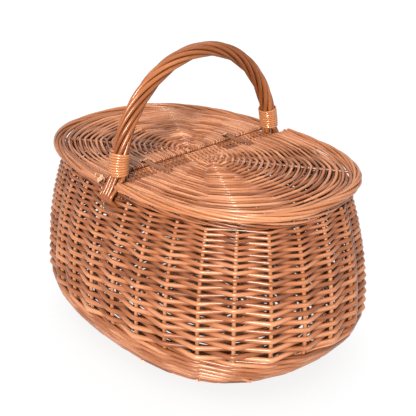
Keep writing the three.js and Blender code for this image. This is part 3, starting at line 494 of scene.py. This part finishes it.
def handle_offset(height, radius):
    """How far out weavers pass the handle: outside its tails, and above them outside its core."""
    if height > TAIL_COVER:
        return CORE_COVER + radius
    heights, offsets = np.array(TAIL_LINE[::-1]).T
    outside = np.interp(height, heights, offsets) + TAIL_RADIUS + radius - TAIL_BITE
    return outside * ramp(height, heights[1] - 1, heights[1] + 3)


def painted_relief_light(standing, painted_highlight, painted_shade):
    """What to add to a rod's tone: painted highlight, lighter where it stands out (1), and painted
    shade, darker where it lies in (-1)."""
    return painted_highlight * np.clip(standing, 0, 1) - painted_shade * np.clip(-standing, 0, 1)


def weaver_columns(begin, end):
    """Columns of a weaver's points from stake to stake, closer together at the stakes."""
    near = np.array(WEAVE_STEPS)
    pair = np.concatenate([near, [1], 2 - near[:0:-1]])
    inner = (2 * np.arange(begin, end)[:, None] + pair[None]).ravel()
    lap = np.array(WEAVE_LAP)
    return np.concatenate([2 * begin - lap[::-1], inner, [2 * end], 2 * end + lap])


def between_stakes(column, values):
    """A value that is given at each stake, at columns of the wall."""
    return np.interp(column / 2 % STAKES, np.arange(STAKES + 1), np.append(values, values[0]))


def straightening(column, height):
    """From the wall's curve to the straight line between its two stakes."""
    before = 2 * np.floor(column / 2)
    share = ((column - before) / 2)[:, None]
    here, left, right = (on_wall(place, 0.0, height)[0] for place in (column, before, before + 2))
    return left + (right - left) * share - here


def wale(rods, rounds, bottom, top):
    """Wale: in each round three rods pass before two stakes and behind one, in turn."""
    pitch = (top - bottom) / rounds
    reach = STAKE_FOOT_RADIUS + WALE_RADIUS - WALE_BITE
    for number in range(rounds):
        for rod in range(WALE_RODS):
            joins = RANDOM.choice(STAKES // WALE_RODS, 2, replace=False)
            joins = np.sort(joins) * WALE_RODS + rod - number
            spans = [joins[0], joins[1], joins[0] + STAKES]
            for begin, end in zip(spans, spans[1:]):
                k = np.arange(begin, end + 1)
                phase = (k - rod + number) % WALE_RODS
                offset = reach * np.choose(phase, WALE_REACHES)
                slant = np.choose(phase, WALE_SLANTS)
                path, _ = on_wall(2.0 * k, offset, bottom + (number + 0.5) * pitch + slant)
                line = np.empty((2 * len(path) - 1, 3))
                line[::2] = path
                line[1::2] = (path[1:] + path[:-1]) / 2
                line = cut_corners(line, *WALE_ROUNDING)
                radius = WALE_RADIUS * np.linspace(*WALE_TAPER, len(line))
                line[:, 2] = np.maximum(line[:, 2], radius)
                rods.add(line, radius)


def weave_row(rods, row, level, pitch):
    """A row of randing: three weavers, one after the other, in and out of the stakes."""
    first = RANDOM.choice([k for k in range(STAKES) if (k + row) % 2])
    spans = [first, *(first + 2 * RANDOM.integers(*join) for join in WEAVER_JOINS), first + STAKES]
    reach_at = RANDOM.uniform(*WEAVER_REACHES, STAKES)
    lift_at = RANDOM.uniform(*WEAVER_LIFTS, STAKES)
    share = (level - WALE_TOP) / (RIM_BOTTOM - WALE_TOP)
    radius = pitch * (LOW_FULLNESS + (HIGH_FULLNESS - LOW_FULLNESS) * share)
    depth = LOW_DEPTH + (HIGH_DEPTH - LOW_DEPTH) * share
    beside_handle = handle_offset(level, radius * depth)
    for begin, end in zip(spans, spans[1:]):
        column = weaver_columns(begin, end)
        # From 1 over one stake to -1 under the next, straight between them
        wave = np.arcsin(WEAVE_BEND * np.cos(np.pi * (column / 2 + row))) / math.asin(WEAVE_BEND)
        height = level + sway(column, level) + between_stakes(column, lift_at)
        reach = stake_radius(level) + radius * depth - WEAVE_BITE
        offset = reach * wave * between_stakes(column, reach_at)
        offset = np.where(offset < 0, offset * INNER_REACH, offset)
        if beside_handle > 0:
            offset = offset + (beside_handle - offset) * handle_bulge(column)
        path, outward = on_wall(column, offset, height)
        path = path + straightening(column, height)
        taper = np.linspace(*WEAVER_TAPER, len(column))
        # Own random tone, with painted shade on the lightest rods towards the top, and painted
        # highlight and shade by how far the weaver stands out or lies in
        tone = RANDOM.uniform(0, 1 - TOP_PAINTED_SHADE * share) + painted_relief_light(wave, *PAINTED_LIGHT_SHADE)
        rods.add(path, radius * taper, tone=tone, facing=outward, flatness=depth)


def side_weave():
    rods = Rods()
    wale(rods, SIDE_ROUNDS, FOOT_TOP, WALE_TOP)
    for row, (level, pitch) in enumerate(zip(*row_heights())):
        weave_row(rods, row, level, pitch)
    rods.piece("side_weave_rods", "weave_willow", ["side_weave"])


def stakes():
    for k in range(STAKES):
        foot, outward = on_wall(2 * k, 0.0, STAKE_FOOT_LEVEL)
        reach = unit(np.array([outward[0], outward[1], 0])) * STAKE_FOOT_REACH
        rise = np.arange(STAKE_WALL_LEVEL, RIM_BOTTOM + STAKE_LAP, STAKE_STEP)
        wall, _ = on_wall(2 * k, 0.0, np.concatenate([[STAKE_BEND_LEVEL], rise]))
        bend = np.vstack([foot - reach, foot - reach * 0.4, foot, wall])
        path = smooth_line(eased_line(bend), 3)
        rods = Rods()
        rods.add(path, stake_radius(path[:, 2]), tone=RANDOM.uniform(*STAKE_TONES), sides=10)
        name = f"stake_{k + 1:02d}"
        rods.piece(name + "_rod", "rod_willow", [name])


def foot():
    rods = Rods()
    wale(rods, FOOT_ROUNDS, 0, FOOT_TOP)
    for column, level, tilt in WALE_CUTS:
        path, _ = on_wall(np.array([column - tilt, column]), np.array(WALE_CUT_REACH), level)
        rods.add([path[0], (path[0] + path[1]) / 2, path[1]], WALE_CUT_RADIUS, tone=0.9)
    rods.piece("foot_wale", "weave_willow", ["foot_rows"])


def base():
    rods = Rods()
    for row in range(BASE_ROWS):
        share = (row + BASE_FIRST_ROW) / (BASE_ROWS + BASE_FIRST_ROW)
        column = np.arange(0, COLUMNS, 0.25 if share > 0.4 else 0.5)
        edge, _ = on_wall(column, -BASE_EDGE, BASE_MIDDLE)
        wave = np.cos(np.pi * (column / COLUMNS * BASE_RADIALS + row))
        height = BASE_MIDDLE + BASE_CROWN * (1 - share**2) + BASE_WAVE * wave * min(1, share * 2)
        path = xyz(edge[:, 0] * share, edge[:, 1] * share, height)
        rods.add(path, BASE_ROD_RADIUS, facing=(0, 0, 1.0), is_closed=True)
    for radial in range(BASE_RADIALS):
        edge, _ = on_wall((radial + 0.5) * COLUMNS / BASE_RADIALS, -BASE_RADIAL_EDGE, BASE_MIDDLE)
        share = np.linspace(0.1, 1, 12)
        path = xyz(edge[0] * share, edge[1] * share, BASE_MIDDLE + BASE_CROWN * (1 - share**2))
        rods.add(path, BASE_RADIAL_RADIUS, tone=0.8)
    rods.piece("base_rods", "weave_willow", ["base_weave"])


def rim():
    """The rolled border: each stake's end comes up inside, over the top and down outside, over
    and under those of its neighbours."""
    rods = Rods()
    oval = wall_at(RIM_MIDDLE)
    orbit_wide = RIM_THICKNESS / 2 - RIM_ROD_RADIUS
    orbit_high = (RIM_TOP - RIM_BOTTOM) / 2 - RIM_ROD_RADIUS
    column = np.linspace(0, RIM_ROD_SPAN, RIM_ROD_STEPS + 1)
    share = column / RIM_ROD_SPAN
    radius = RIM_ROD_RADIUS * (1.04 - RIM_ROD_TIP * share) * (1 - 0.5 * ramp(share, 0.9, 1))
    for k in range(STAKES):
        turn = np.radians(RIM_ROD_START - RIM_ROD_TURN * share)
        turn = turn + RANDOM.uniform(-RIM_ROD_STRAY, RIM_ROD_STRAY)
        height = RIM_MIDDLE + orbit_high * np.sin(turn)
        path = oval_point(oval, angle_of(2 * k + column), orbit_wide * np.cos(turn), height)
        rods.add(path, radius, sides=10)
    rods.piece("rim_border_rods", "weave_willow", ["rim_border"])


# Crossbar and straps


def crossbar_sticks():
    for side, name in ((-1, "left"), (1, "right")):
        rods = Rods()
        reach = HALF_WIDTHS[2] - RIM_THICKNESS / 2 + BAR_STICK_LAP
        path = xyz(side * BAR_STICK_PLACE, np.linspace(-reach, reach, BAR_STEPS), BAR_LEVEL)
        rods.add(path, BAR_STICK_RADIUS, tone=0.6, sides=12)
        node = "crossbar_stick_" + name
        rods.piece(node + "_rod", "rod_willow", [node])


def crossbar_skein():
    """A skein that goes over one stick, under a middle rod and over the other, and turns back
    below, again and again."""
    rods = Rods()
    pitch = 2 * BAR_HALF_LENGTH / BAR_ROWS
    half = BAR_SKEIN_THICKNESS / 2
    lift = BAR_STICK_RADIUS + half
    x = np.linspace(-BAR_STICK_PLACE, BAR_STICK_PLACE, 13)
    wave = np.cos(np.pi * x / BAR_STICK_PLACE)
    level = np.where(wave > 0, wave * (BAR_MIDDLE_RADIUS + half) * -1, -wave * lift)
    turns = np.linspace(0, np.pi, 9)[1:-1]
    out = np.sin(turns)
    bend = xyz(BAR_STICK_PLACE + lift * out, pitch * turns / np.pi, lift * np.cos(turns))
    row_line = np.vstack([xyz(x, 0, level), bend])
    row_facing = np.vstack([xyz(0 * x, 0, 1), xyz(out, 0, np.cos(turns))])
    row_widths = pitch * (BAR_SKEIN_FULLNESS + BAR_BEAD_FULLNESS * np.append(0 * x, out))
    line, facing = [], []
    for row in range(BAR_ROWS):
        swap = [1, 1, 1] if row % 2 == 0 else [-1, 1, -1]
        line.append([0, (row + 0.5) * pitch - BAR_HALF_LENGTH, BAR_LEVEL] + row_line * swap)
        facing.append(row_facing * swap)
    line, facing = np.vstack(line)[: -len(bend)], np.vstack(facing)
    widths = np.tile(row_widths, BAR_ROWS)
    for part in np.array_split(np.arange(len(line)), BAR_SKEINS):
        part = np.arange(part[0], min(part[-1] + 2, len(line)))
        rods.add(line[part], widths[part], facing=facing[part], flatness=half / widths[part])
    path = xyz(0, np.linspace(-BAR_HALF_LENGTH, BAR_HALF_LENGTH, BAR_STEPS), BAR_LEVEL)
    rods.add(path, BAR_MIDDLE_RADIUS, tone=0.5)
    rods.piece("crossbar_skein", "weave_willow", ["crossbar_weave"])


def tangent_turn(point, radius, side):
    """Where a line from a point meets a circle round the hinge rod, above or below."""
    away = math.hypot(point[0] - HINGE_PLACE, point[1])
    towards = math.atan2(point[1], point[0] - HINGE_PLACE)
    turn = towards - side * math.acos(radius / away)
    return turn + 2 * math.pi if side > 0 and turn < 0 else turn


def strap_line(grow):
    """The closed line of a strap in the plane across the crossbar, from x and level."""
    radius = HINGE_BORE + SEAT_GAP + grow
    top = BAR_TOP + SEAT_GAP + grow - HINGE_LEVEL
    bottom = BAR_BOTTOM - SEAT_GAP - grow - HINGE_LEVEL
    waist = (BAR_HALF_WIDTH - STRAP_WAIST - grow / 2, top)
    corner = (BAR_HALF_WIDTH + SEAT_GAP + grow / 2, bottom)
    turns = np.linspace(tangent_turn(corner, radius, -1), tangent_turn(waist, radius, 1), 24)
    arc = np.stack([HINGE_PLACE + radius * np.cos(turns), radius * np.sin(turns)], -1)
    top_side = np.linspace(waist, (0, top), 7)[:-1]
    low_side = np.linspace((0, bottom), corner, 7)
    right = np.vstack([low_side, arc, top_side])
    left = (right * [-1, 1])[::-1]
    return np.vstack([right, [[0, top]], left[:-1]])


def straps():
    line = strap_line(STRAP_THICKNESS / 2)
    out = strap_line(STRAP_THICKNESS) - line
    facing = xyz(out[:, 0], 0, out[:, 1])
    width = STRAP_WIDTH / 4
    flatness = STRAP_THICKNESS / 2 / width
    for side, name in ((-1, "near"), (1, "far")):
        rods = Rods()
        for lane in (-1, 1):
            y = side * STRAP_OFFSET + lane * width * STRAP_LANE
            path = xyz(line[:, 0], y, HINGE_LEVEL + line[:, 1])
            rods.add(path, width, sides=12, facing=facing, flatness=flatness, is_closed=True)
        node = "hinge_strap_" + name
        rods.piece(node + "_skein", "strap_skein", [node])


# Lids: made for the +X end, and turned half round (swap) for the other


def lid_oval(inset):
    return (LID_HALF_LENGTH - inset, LID_HALF_WIDTH - inset, LID_SQUARENESS)


def lid_reach(direction):
    """From the hinge rod's middle to the inside of the lid's border, along a direction."""
    half_length, half_width, squareness = lid_oval(LID_BORDER - LID_LAP)
    near = np.zeros_like(direction)
    far = np.full_like(direction, 2.0 * half_length)
    for _ in range(40):
        reach = (near + far) / 2
        x = HINGE_PLACE + reach * np.cos(direction)
        y = np.abs(reach * np.sin(direction))
        inside = (x / half_length) ** squareness + (y / half_width) ** squareness < 1
        near = np.where(inside, reach, near)
        far = np.where(inside, far, reach)
    return near


def lid_row(row):
    """A row of the lid: from the hinge rod round to the hinge rod, over and under the sticks.
    u counts the sticks from 0, and is -1 and one past the last at the hinge rod."""
    last = len(LID_STICK_ANGLES) - 1
    at_sticks = np.radians(np.array([-90, *LID_STICK_ANGLES, 90], float))
    u = np.linspace(-1, last + 1, LID_ROW_STEPS)
    knots = np.arange(-1, last + 2)
    direction = np.interp(u, knots, at_sticks)
    share = (row + 1) / LID_ROWS
    stray = sum(size * np.sin(per_u * u + per_row * row) for size, per_u, per_row in LID_STRAYS)
    stray = share + stray / LID_ROWS
    curve = lid_reach(direction) * stray * np.array([np.cos(direction), np.sin(direction)])
    bends = lid_reach(at_sticks) * share * np.array([np.cos(at_sticks), np.sin(at_sticks)])
    chords = np.array([np.interp(u, knots, bend) for bend in bends])
    x, y = curve + (chords - curve) * LID_STRAIGHTNESS * (1 - ramp(share, 0.8, 1.0))
    wave = np.cos(np.pi * (u + row))
    wave = LID_WAVE_BLEND[0] * wave + LID_WAVE_BLEND[1] * np.arcsin(wave) * 2 / np.pi
    at_end = ramp(-u, *LID_END) + ramp(u - last, *LID_END)
    lift = LID_WAVE * wave * (1 - at_end) * (1 - LID_OUTER_WAVE * ramp(share, LID_OUTER, 1))
    over = HINGE_ROD_LEVEL + HINGE_ROD_RADIUS + WRAP_THICKNESS / 2 - LID_STICK_LEVEL
    return xyz(HINGE_PLACE + x, y, LID_STICK_LEVEL + lift + over * at_end)


def row_parts(path):
    """Parts of a row that are rods of their own: the whole row, or two."""
    if RANDOM.random() < LID_WHOLE_ROWS:
        return [path]
    place = int(len(path) * RANDOM.uniform(*LID_JOIN_PLACE))
    return [path[: place + 2], path[place:]]


def hinge_wrap(y, away):
    """The end of a row, round the hinge rod on the crossbar's side."""
    turns = np.radians(np.linspace(*WRAP_TURN, WRAP_STEPS))
    radius = HINGE_ROD_RADIUS + WRAP_THICKNESS / 2
    drift = away * WRAP_DRIFT * np.linspace(0, 1, WRAP_STEPS)
    x = HINGE_PLACE + radius * np.cos(turns)
    return xyz(x, y + drift, HINGE_ROD_LEVEL + radius * np.sin(turns))


def lid_weave(rods, swap):
    for row in range(LID_ROWS):
        path = lid_row(row)
        from_strap = abs(abs(path[0][1]) - STRAP_OFFSET)
        if from_strap < STRAP_WIDTH / 2 + STRAP_SIDE_ROOM:
            path = path[path[:, 0] > HINGE_PLACE + STRAP_ROOM]
            path[:, 2] = np.minimum(path[:, 2], LID_STICK_LEVEL + LID_END_LIFT)
        else:
            path = path[np.abs(path[:, 0]) > HINGE_PLACE + HINGE_ROOM]
            path = np.vstack([hinge_wrap(path[0][1], 1)[::-1], path, hinge_wrap(path[-1][1], -1)])
        for line in row_parts(path):
            x, y, _ = (line - [HINGE_PLACE, 0, 0]).T
            taper = np.linspace(*LID_ROD_TAPER, len(line))
            radius = LID_ROD_RADIUS * RANDOM.uniform(*LID_ROD_STRAY) * taper
            fullness = LID_FULLNESS * RANDOM.uniform(*LID_FULLNESS_STRAY)
            radius = np.maximum(radius, fullness * (np.hypot(x, y) / (row + 1)) * (row > 2))
            pinch = np.sin(LID_PINCHES[0] * np.arctan2(y, x) + LID_PINCHES[1] * row)
            pinch = np.clip(pinch, 0, 1) ** 3
            radius = radius * (1 - LID_PINCH * pinch)
            squash = 1 - ramp(line[:, 0], LID_FLAT, LID_ROUND)
            flatness = 1 + (WRAP_THICKNESS / 2 / LID_ROD_RADIUS - 1) * squash
            from_rod = line - [HINGE_PLACE, 0, HINGE_ROD_LEVEL]
            upward = np.array([0, 0, 1.0]) + from_rod * [1, 0, 1] * (line[:, :1] < HINGE_PLACE)
            lift = np.clip((line[:, 2] - LID_STICK_LEVEL) / LID_WAVE, -1, 1)
            # Own random tone, plus painted highlight and shade by how far the rod rises or dips
            tone = RANDOM.uniform(*LID_TONES) + painted_relief_light(lift, *LID_PAINTED_LIGHT_SHADE)
            rods.add(line * swap, radius, tone=tone, facing=upward * swap, flatness=flatness)


def lid_sticks(rods, swap):
    rod_end = LID_HALF_WIDTH - LID_BORDER - 1
    path = xyz(HINGE_PLACE, np.linspace(-rod_end, rod_end, 40), HINGE_ROD_LEVEL)
    rods.add(path * swap, HINGE_ROD_RADIUS, tone=0.5, sides=14)
    for degrees in LID_STICK_ANGLES:
        direction = math.radians(degrees)
        reach = lid_reach(np.array([direction]))[0]
        along = np.linspace(0, reach + LID_LAP, 24)
        x = HINGE_PLACE + along * math.cos(direction)
        path = xyz(x, along * math.sin(direction), LID_STICK_LEVEL)
        # Low tones: painted shade on the sticks where they show between the rows
        rods.add(path * swap, LID_STICK_RADIUS, tone=RANDOM.uniform(*LID_STICK_PAINTED_SHADE_TONES), sides=10)


def lid_border(rods, swap):
    oval = lid_oval(LID_BORDER / 2)
    limit = math.acos(((HINGE_PLACE - HINGE_BORE) / oval[0]) ** (oval[2] / 2))
    dense = np.linspace(-limit, limit, 2000)
    lengths = lengths_along(oval_point(oval, dense, 0, 0))
    along = np.linspace(0, lengths[-1], BORDER_STEPS)
    angle = np.interp(along, lengths, dense)
    orbit = LID_BORDER / 2 - BORDER_ROD_RADIUS
    size, length = BORDER_SWAY
    for number in range(BORDER_RODS):
        twist = 2 * np.pi * (number / BORDER_RODS - along / BORDER_TWIST)
        twist = twist + size * np.sin(along / length + 2.4 * number)
        path = oval_point(oval, angle, orbit * np.cos(twist), LID_LEVEL + orbit * np.sin(twist))
        short = RANDOM.integers(*BORDER_SHORT, 2)
        path = path[short[0] : len(path) - short[1]]
        radius = BORDER_ROD_RADIUS * RANDOM.uniform(*BORDER_ROD_STRAY)
        rods.add(path * swap, radius, sides=10)
    middle = oval_point(oval, angle, 0.0, LID_LEVEL)
    rods.add(middle * swap, BORDER_CORE_RADIUS, tone=0.4)
    inner = oval_point(lid_oval(LID_INNER_INSET), angle[3:-3], 0.0, LID_LEVEL - LID_INNER_DROP)
    rods.add(inner * swap, LID_INNER_RADIUS, tone=0.3, sides=10)
    taper = np.linspace(1, LID_BUTT_TIP, LID_BUTT_STEPS)
    near_end = angle[:LID_BUTT_STEPS]
    if swap[0] < 0:
        taper, near_end = taper[::-1], angle[-LID_BUTT_STEPS:]
    orbit = LID_BORDER / 2 - LID_BUTT_RADIUS
    for twist in LID_BUTTS:
        out, rise = orbit * math.cos(twist), orbit * math.sin(twist)
        path = oval_point(oval, near_end, out, LID_LEVEL + rise)
        rods.add(path * swap, LID_BUTT_RADIUS * taper, tone=0.5, sides=12)


def lids():
    parts = (
        ("lid_weave_", lid_weave, "weave_willow"),
        ("lid_sticks_", lid_sticks, "rod_willow"),
        ("lid_border_", lid_border, "rod_willow"),
    )
    for name, turn in (("right", 1.0), ("left", -1.0)):
        for part, add_rods, slot in parts:
            rods = Rods()
            add_rods(rods, np.array([turn, turn, 1.0]))
            node = part + name
            rods.piece(node + "_rods", slot, [node], "lid_" + name)


# Handle


def handle_point(share):
    turn = np.pi * np.asarray(share, float)
    rise = (HANDLE_TOP - ARCH_FOOT) * np.sin(turn)
    return xyz(0, -HANDLE_HALF_SPAN * np.cos(turn), ARCH_FOOT + rise)


def handle_out(share):
    along = unit(handle_point(share + 1e-4) - handle_point(share - 1e-4))
    return xyz(0, -along[..., 2], along[..., 1])


def share_at(height):
    return np.arcsin((height - ARCH_FOOT) / (HANDLE_TOP - ARCH_FOOT)) / np.pi


def strand_end(number, side):
    """The lower end of a strand: over the rim and down the wall, or down onto the rim."""
    slot = number - (TAILS - 1) / 2
    turn = 2 * np.pi * slot / STRANDS

    def out(distance):
        return side * (HANDLE_HALF_SPAN + distance)

    if number >= TAILS:
        x = ORBIT_FOOT * math.sin(turn)
        return [(x, out(ORBIT_FOOT * math.cos(turn)), BAR_TOP + SEAT_GAP)]
    x = slot * TAIL_PITCH
    is_outermost = abs(slot) == (TAILS - 1) / 2
    knee = 0 if is_outermost else ORBIT_FOOT * math.cos(turn / 2)
    line = [
        (x, out(knee), ROPE_FOOT - TAIL_KNEE),
        (x, out((knee + TAIL_BULGE) / 2), RIM_TOP),
        (x, out(TAIL_BULGE), RIM_BOTTOM + TAIL_BULGE_RISE),
    ]
    for height, distance in TAIL_LINE:
        wall, _ = on_wall(HANDLE_COLUMNS[side], distance, height)
        line.append((x, wall[1], height))
    return line


def strands():
    start = share_at(ROPE_FOOT)
    dense = np.linspace(start, 1 - start, 4001)
    lengths = lengths_along(handle_point(dense))
    shares = np.interp(np.linspace(0, lengths[-1], STRAND_STEPS + 1), lengths, dense)
    done = np.linspace(0, 1, STRAND_STEPS + 1)
    orbit = ORBIT_FOOT + (ORBIT_TOP - ORBIT_FOOT) * np.sin(np.pi * done)
    for number in range(STRANDS):
        start = 2 * np.pi * (number - (TAILS - 1) / 2) / STRANDS
        turn = start + 2 * np.pi * STRAND_TURNS * done
        arch = handle_point(shares) + handle_out(shares) * (orbit * np.cos(turn))[:, None]
        arch[:, 0] = orbit * np.sin(turn)
        near = strand_end(number, -1)[::-1]
        far = strand_end(number, 1)
        path = smooth_line(np.vstack([near, arch, far]), STRAND_SMOOTHING)
        place = np.arange(len(path)) / STRAND_SMOOTHING
        from_end = np.minimum(place, place[-1] - place)
        in_tail = 1 - ramp(from_end, len(near) - 1.5, len(near) + 0.5)
        rise = np.sin(np.pi * place / place[-1])
        full = STRAND_FOOT_RADIUS + (STRAND_TOP_RADIUS - STRAND_FOOT_RADIUS) * rise
        radius = full + (TAIL_RADIUS - full) * in_tail * (number < TAILS)
        rods = Rods()
        rods.add(path, radius, tone=RANDOM.uniform(*STRAND_TONES), sides=12)
        node = f"handle_strand_{number + 1:02d}"
        rods.piece(node + "_rod", "handle_willow", [node])


def bindings():
    orbit = ORBIT_FOOT + STRAND_FOOT_RADIUS + SEAT_GAP + BINDING_THICKNESS / 2
    width = BINDING_PITCH / 2 * BINDING_LAP
    flatness = BINDING_THICKNESS / 2 / width
    i = np.arange(BINDING_TURNS * BINDING_STEPS + 1)
    turn = 2 * np.pi * i / BINDING_STEPS
    share = share_at(ROPE_FOOT + BINDING_PITCH * i / BINDING_STEPS)
    facing = handle_out(share) * np.cos(turn)[:, None]
    facing[:, 0] = np.sin(turn)
    dive = 1 - ramp(np.minimum(i, i[-1] - i) / BINDING_STEPS, *BINDING_END)
    path = handle_point(share) + facing * (orbit - BINDING_DIVE * dive)[:, None]
    for side, name in ((-1, "near"), (1, "far")):
        flip = np.array([1, -side, 1.0])
        rods = Rods()
        rods.add(path * flip, width, tone=0.7, sides=10, facing=facing * flip, flatness=flatness)
        node = "binding_" + name
        rods.piece(node + "_skein", "binding_skein", [node])


# Materials


class Nodes:
    """Short ways to add nodes to a material."""

    def __init__(self, name):
        self.material = bpy.data.materials.new(name)
        self.material.use_nodes = True
        self.tree = self.material.node_tree
        self.tree.nodes.clear()

    def add(self, kind, inputs={}, **settings):
        """A node. Its inputs, by name or number, are other nodes' outputs or values."""
        node = self.tree.nodes.new(kind)
        for key, value in settings.items():
            setattr(node, key, value)
        for key, value in inputs.items():
            if isinstance(value, bpy.types.NodeSocket):
                self.tree.links.new(value, node.inputs[key])
            else:
                node.inputs[key].default_value = value
        return node

    def attribute(self, name, output):
        return self.add("ShaderNodeAttribute", attribute_name=name).outputs[output]

    def total(self, start, *parts):
        """A number plus outputs, each times a weight."""
        for value, weight in parts:
            inputs = {0: value, 1: weight, 2: start}
            start = self.add("ShaderNodeMath", inputs, operation="MULTIPLY_ADD").outputs[0]
        return start

    def noise(self, vector, along, across, detail):
        scale = (1 / along, 1 / across, 1 / across)
        place = self.add("ShaderNodeMapping", {"Vector": vector, "Scale": scale}).outputs[0]
        inputs = {"Vector": place, "Scale": 1.0, "Detail": detail, "Roughness": 0.55}
        return self.add("ShaderNodeTexNoise", inputs).outputs["Fac"]

    def ramp(self, value, places, colours):
        node = self.add("ShaderNodeValToRGB", {"Fac": value})
        elements = node.color_ramp.elements
        while len(elements) < len(places):
            elements.new(0.5)
        for element, place, colour in zip(elements, places, colours):
            element.position = place
            element.color = (*colour, 1)
        return node.outputs["Color"]

    def mix(self, factor, a, b, blend="MIX"):
        """Two colours mixed. The node's other inputs and outputs are for other kinds of data."""
        inputs = {0: factor, 6: a, 7: b}
        return self.add("ShaderNodeMix", inputs, data_type="RGBA", blend_type=blend).outputs[2]

    def surface(self, inputs, height=None, strength=0, distance=0):
        """The material's shader, with relief by a height."""
        if height:
            relief = {"Height": height, "Strength": strength, "Distance": distance}
            inputs["Normal"] = self.add("ShaderNodeBump", relief).outputs["Normal"]
        shader = self.add("ShaderNodeBsdfPrincipled", inputs)
        self.add("ShaderNodeOutputMaterial", {"Surface": shader.outputs["BSDF"]})
        return self.material


def willow(name, shades, gloss, varnish):
    """Peeled, boiled willow: shades from rod to rod, with the painted highlight and shade that
    some rods' tones carry, streaks along each, a few marks and pale cut ends."""
    n = Nodes(name)
    grain = n.attribute("grain", "Vector")
    tone, cut = n.attribute("tone", "Fac"), n.attribute("cut", "Fac")
    mottle, streak, marks = (n.noise(grain, *sizes) for sizes in (MOTTLE, STREAKS, MARKS))
    shade = n.total(0.03, (tone, 0.36), (mottle, 0.5), (streak, 0.24))
    colour = n.ramp(shade, SHADE_PLACES, shades)
    spot = n.ramp(marks, MARK_PLACES, ((0, 0, 0), (1, 1, 1)))
    colour = n.mix(spot, colour, n.mix(0.5, colour, MARK_SHADE, "MULTIPLY"))
    colour = n.mix(cut, colour, n.mix(0.8, colour, CUT_SHADE))
    inputs = {
        "Base Color": colour,
        "Roughness": n.total(gloss - 0.11, (streak, 0.22), (cut, 0.35)),
        "Coat Weight": varnish,
        "Coat Roughness": VARNISH_ROUGHNESS,
        "Specular IOR Level": 0.5,
        "Specular Tint": SHINE_TINT,
    }
    return n.surface(inputs, n.total(0, (streak, 0.7), (mottle, 0.6)), *RELIEF)


def kept_solids():
    """The CAD nodes that stay take willow too, with streaks by their own place."""
    n = Nodes("core_willow")
    streak = n.noise(n.add("ShaderNodeTexCoord").outputs["Object"], *CORE_STREAKS)
    colour = n.ramp(streak, CORE_PLACES, CORE_SHADES)
    inputs = {"Base Color": colour, "Roughness": n.total(0.35, (streak, 0.3))}
    material = n.surface(inputs, streak, *CORE_RELIEF)
    for name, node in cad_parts.items():
        if name.startswith(("handle_core", "base_long", "base_cross")):
            node.data.materials.clear()
            node.data.materials.append(material)


# Studio


def pale_floor():
    """The floor glows a little, so that it stays white under soft light and keeps a shadow."""
    mesh = bpy.data.meshes.new("floor")
    half = FLOOR_HALF
    corners = [(-half, -half, 0), (half, -half, 0), (half, half, 0), (-half, half, 0)]
    mesh.from_pydata(corners, [], [(0, 1, 2, 3)])
    floor = in_scene("floor", mesh)
    inputs = {"Base Color": FLOOR_SHADE, "Roughness": FLOOR_ROUGHNESS}
    inputs |= {"Emission Color": (1, 1, 1, 1), "Emission Strength": FLOOR_GLOW}
    mesh.materials.append(Nodes("floor_pale").surface(inputs))
    return floor


def aim(thing, direction):
    thing.rotation_euler = Vector(direction).to_track_quat("-Z", "Y").to_euler()


def studio():
    scene = bpy.context.scene
    scene.view_settings.view_transform = "Standard"
    world = bpy.data.worlds.new("studio")
    world.use_nodes = True
    background = world.node_tree.nodes["Background"].inputs
    background["Color"].default_value = (1, 1, 1, 1)
    background["Strength"].default_value = WORLD_STRENGTH
    scene.world = world
    camera = in_scene("camera", bpy.data.cameras.new("camera"))
    camera.data.lens = CAMERA_LENS
    camera.data.sensor_width = CAMERA_SENSOR
    camera.location = CAMERA_PLACE
    aim(camera, Vector(CAMERA_TARGET) - camera.location)
    scene.camera = camera
    floor = pale_floor()
    for name, place, size, power, colour in LAMPS:
        light = bpy.data.lights.new(name, "AREA")
        light.shape, light.size, light.energy, light.color = "SQUARE", size, power, colour
        lamp = in_scene(name, light)
        lamp.location = place
        aim(lamp, Vector(LAMP_TARGET) - lamp.location)
        # The lamps leave the floor out, which only the sky lights
        off_floor = bpy.data.collections.new(name + "_off_floor")
        off_floor.objects.link(floor)
        lamp.light_linking.receiver_collection = off_floor
        off_floor.collection_objects[0].light_linking.link_state = "EXCLUDE"
    sky = bpy.data.lights.new("sky", "SUN")
    sky.energy = SKY_STRENGTH
    sky.angle = math.radians(SKY_ANGLE)
    aim(in_scene("sky", sky), SKY_DIRECTION)


def build():
    for slot, looks in WILLOWS.items():
        materials[slot] = willow(slot, *looks)
    side_weave()
    stakes()
    foot()
    base()
    rim()
    crossbar_sticks()
    crossbar_skein()
    straps()
    lids()
    strands()
    bindings()
    kept_solids()


build()
studio()
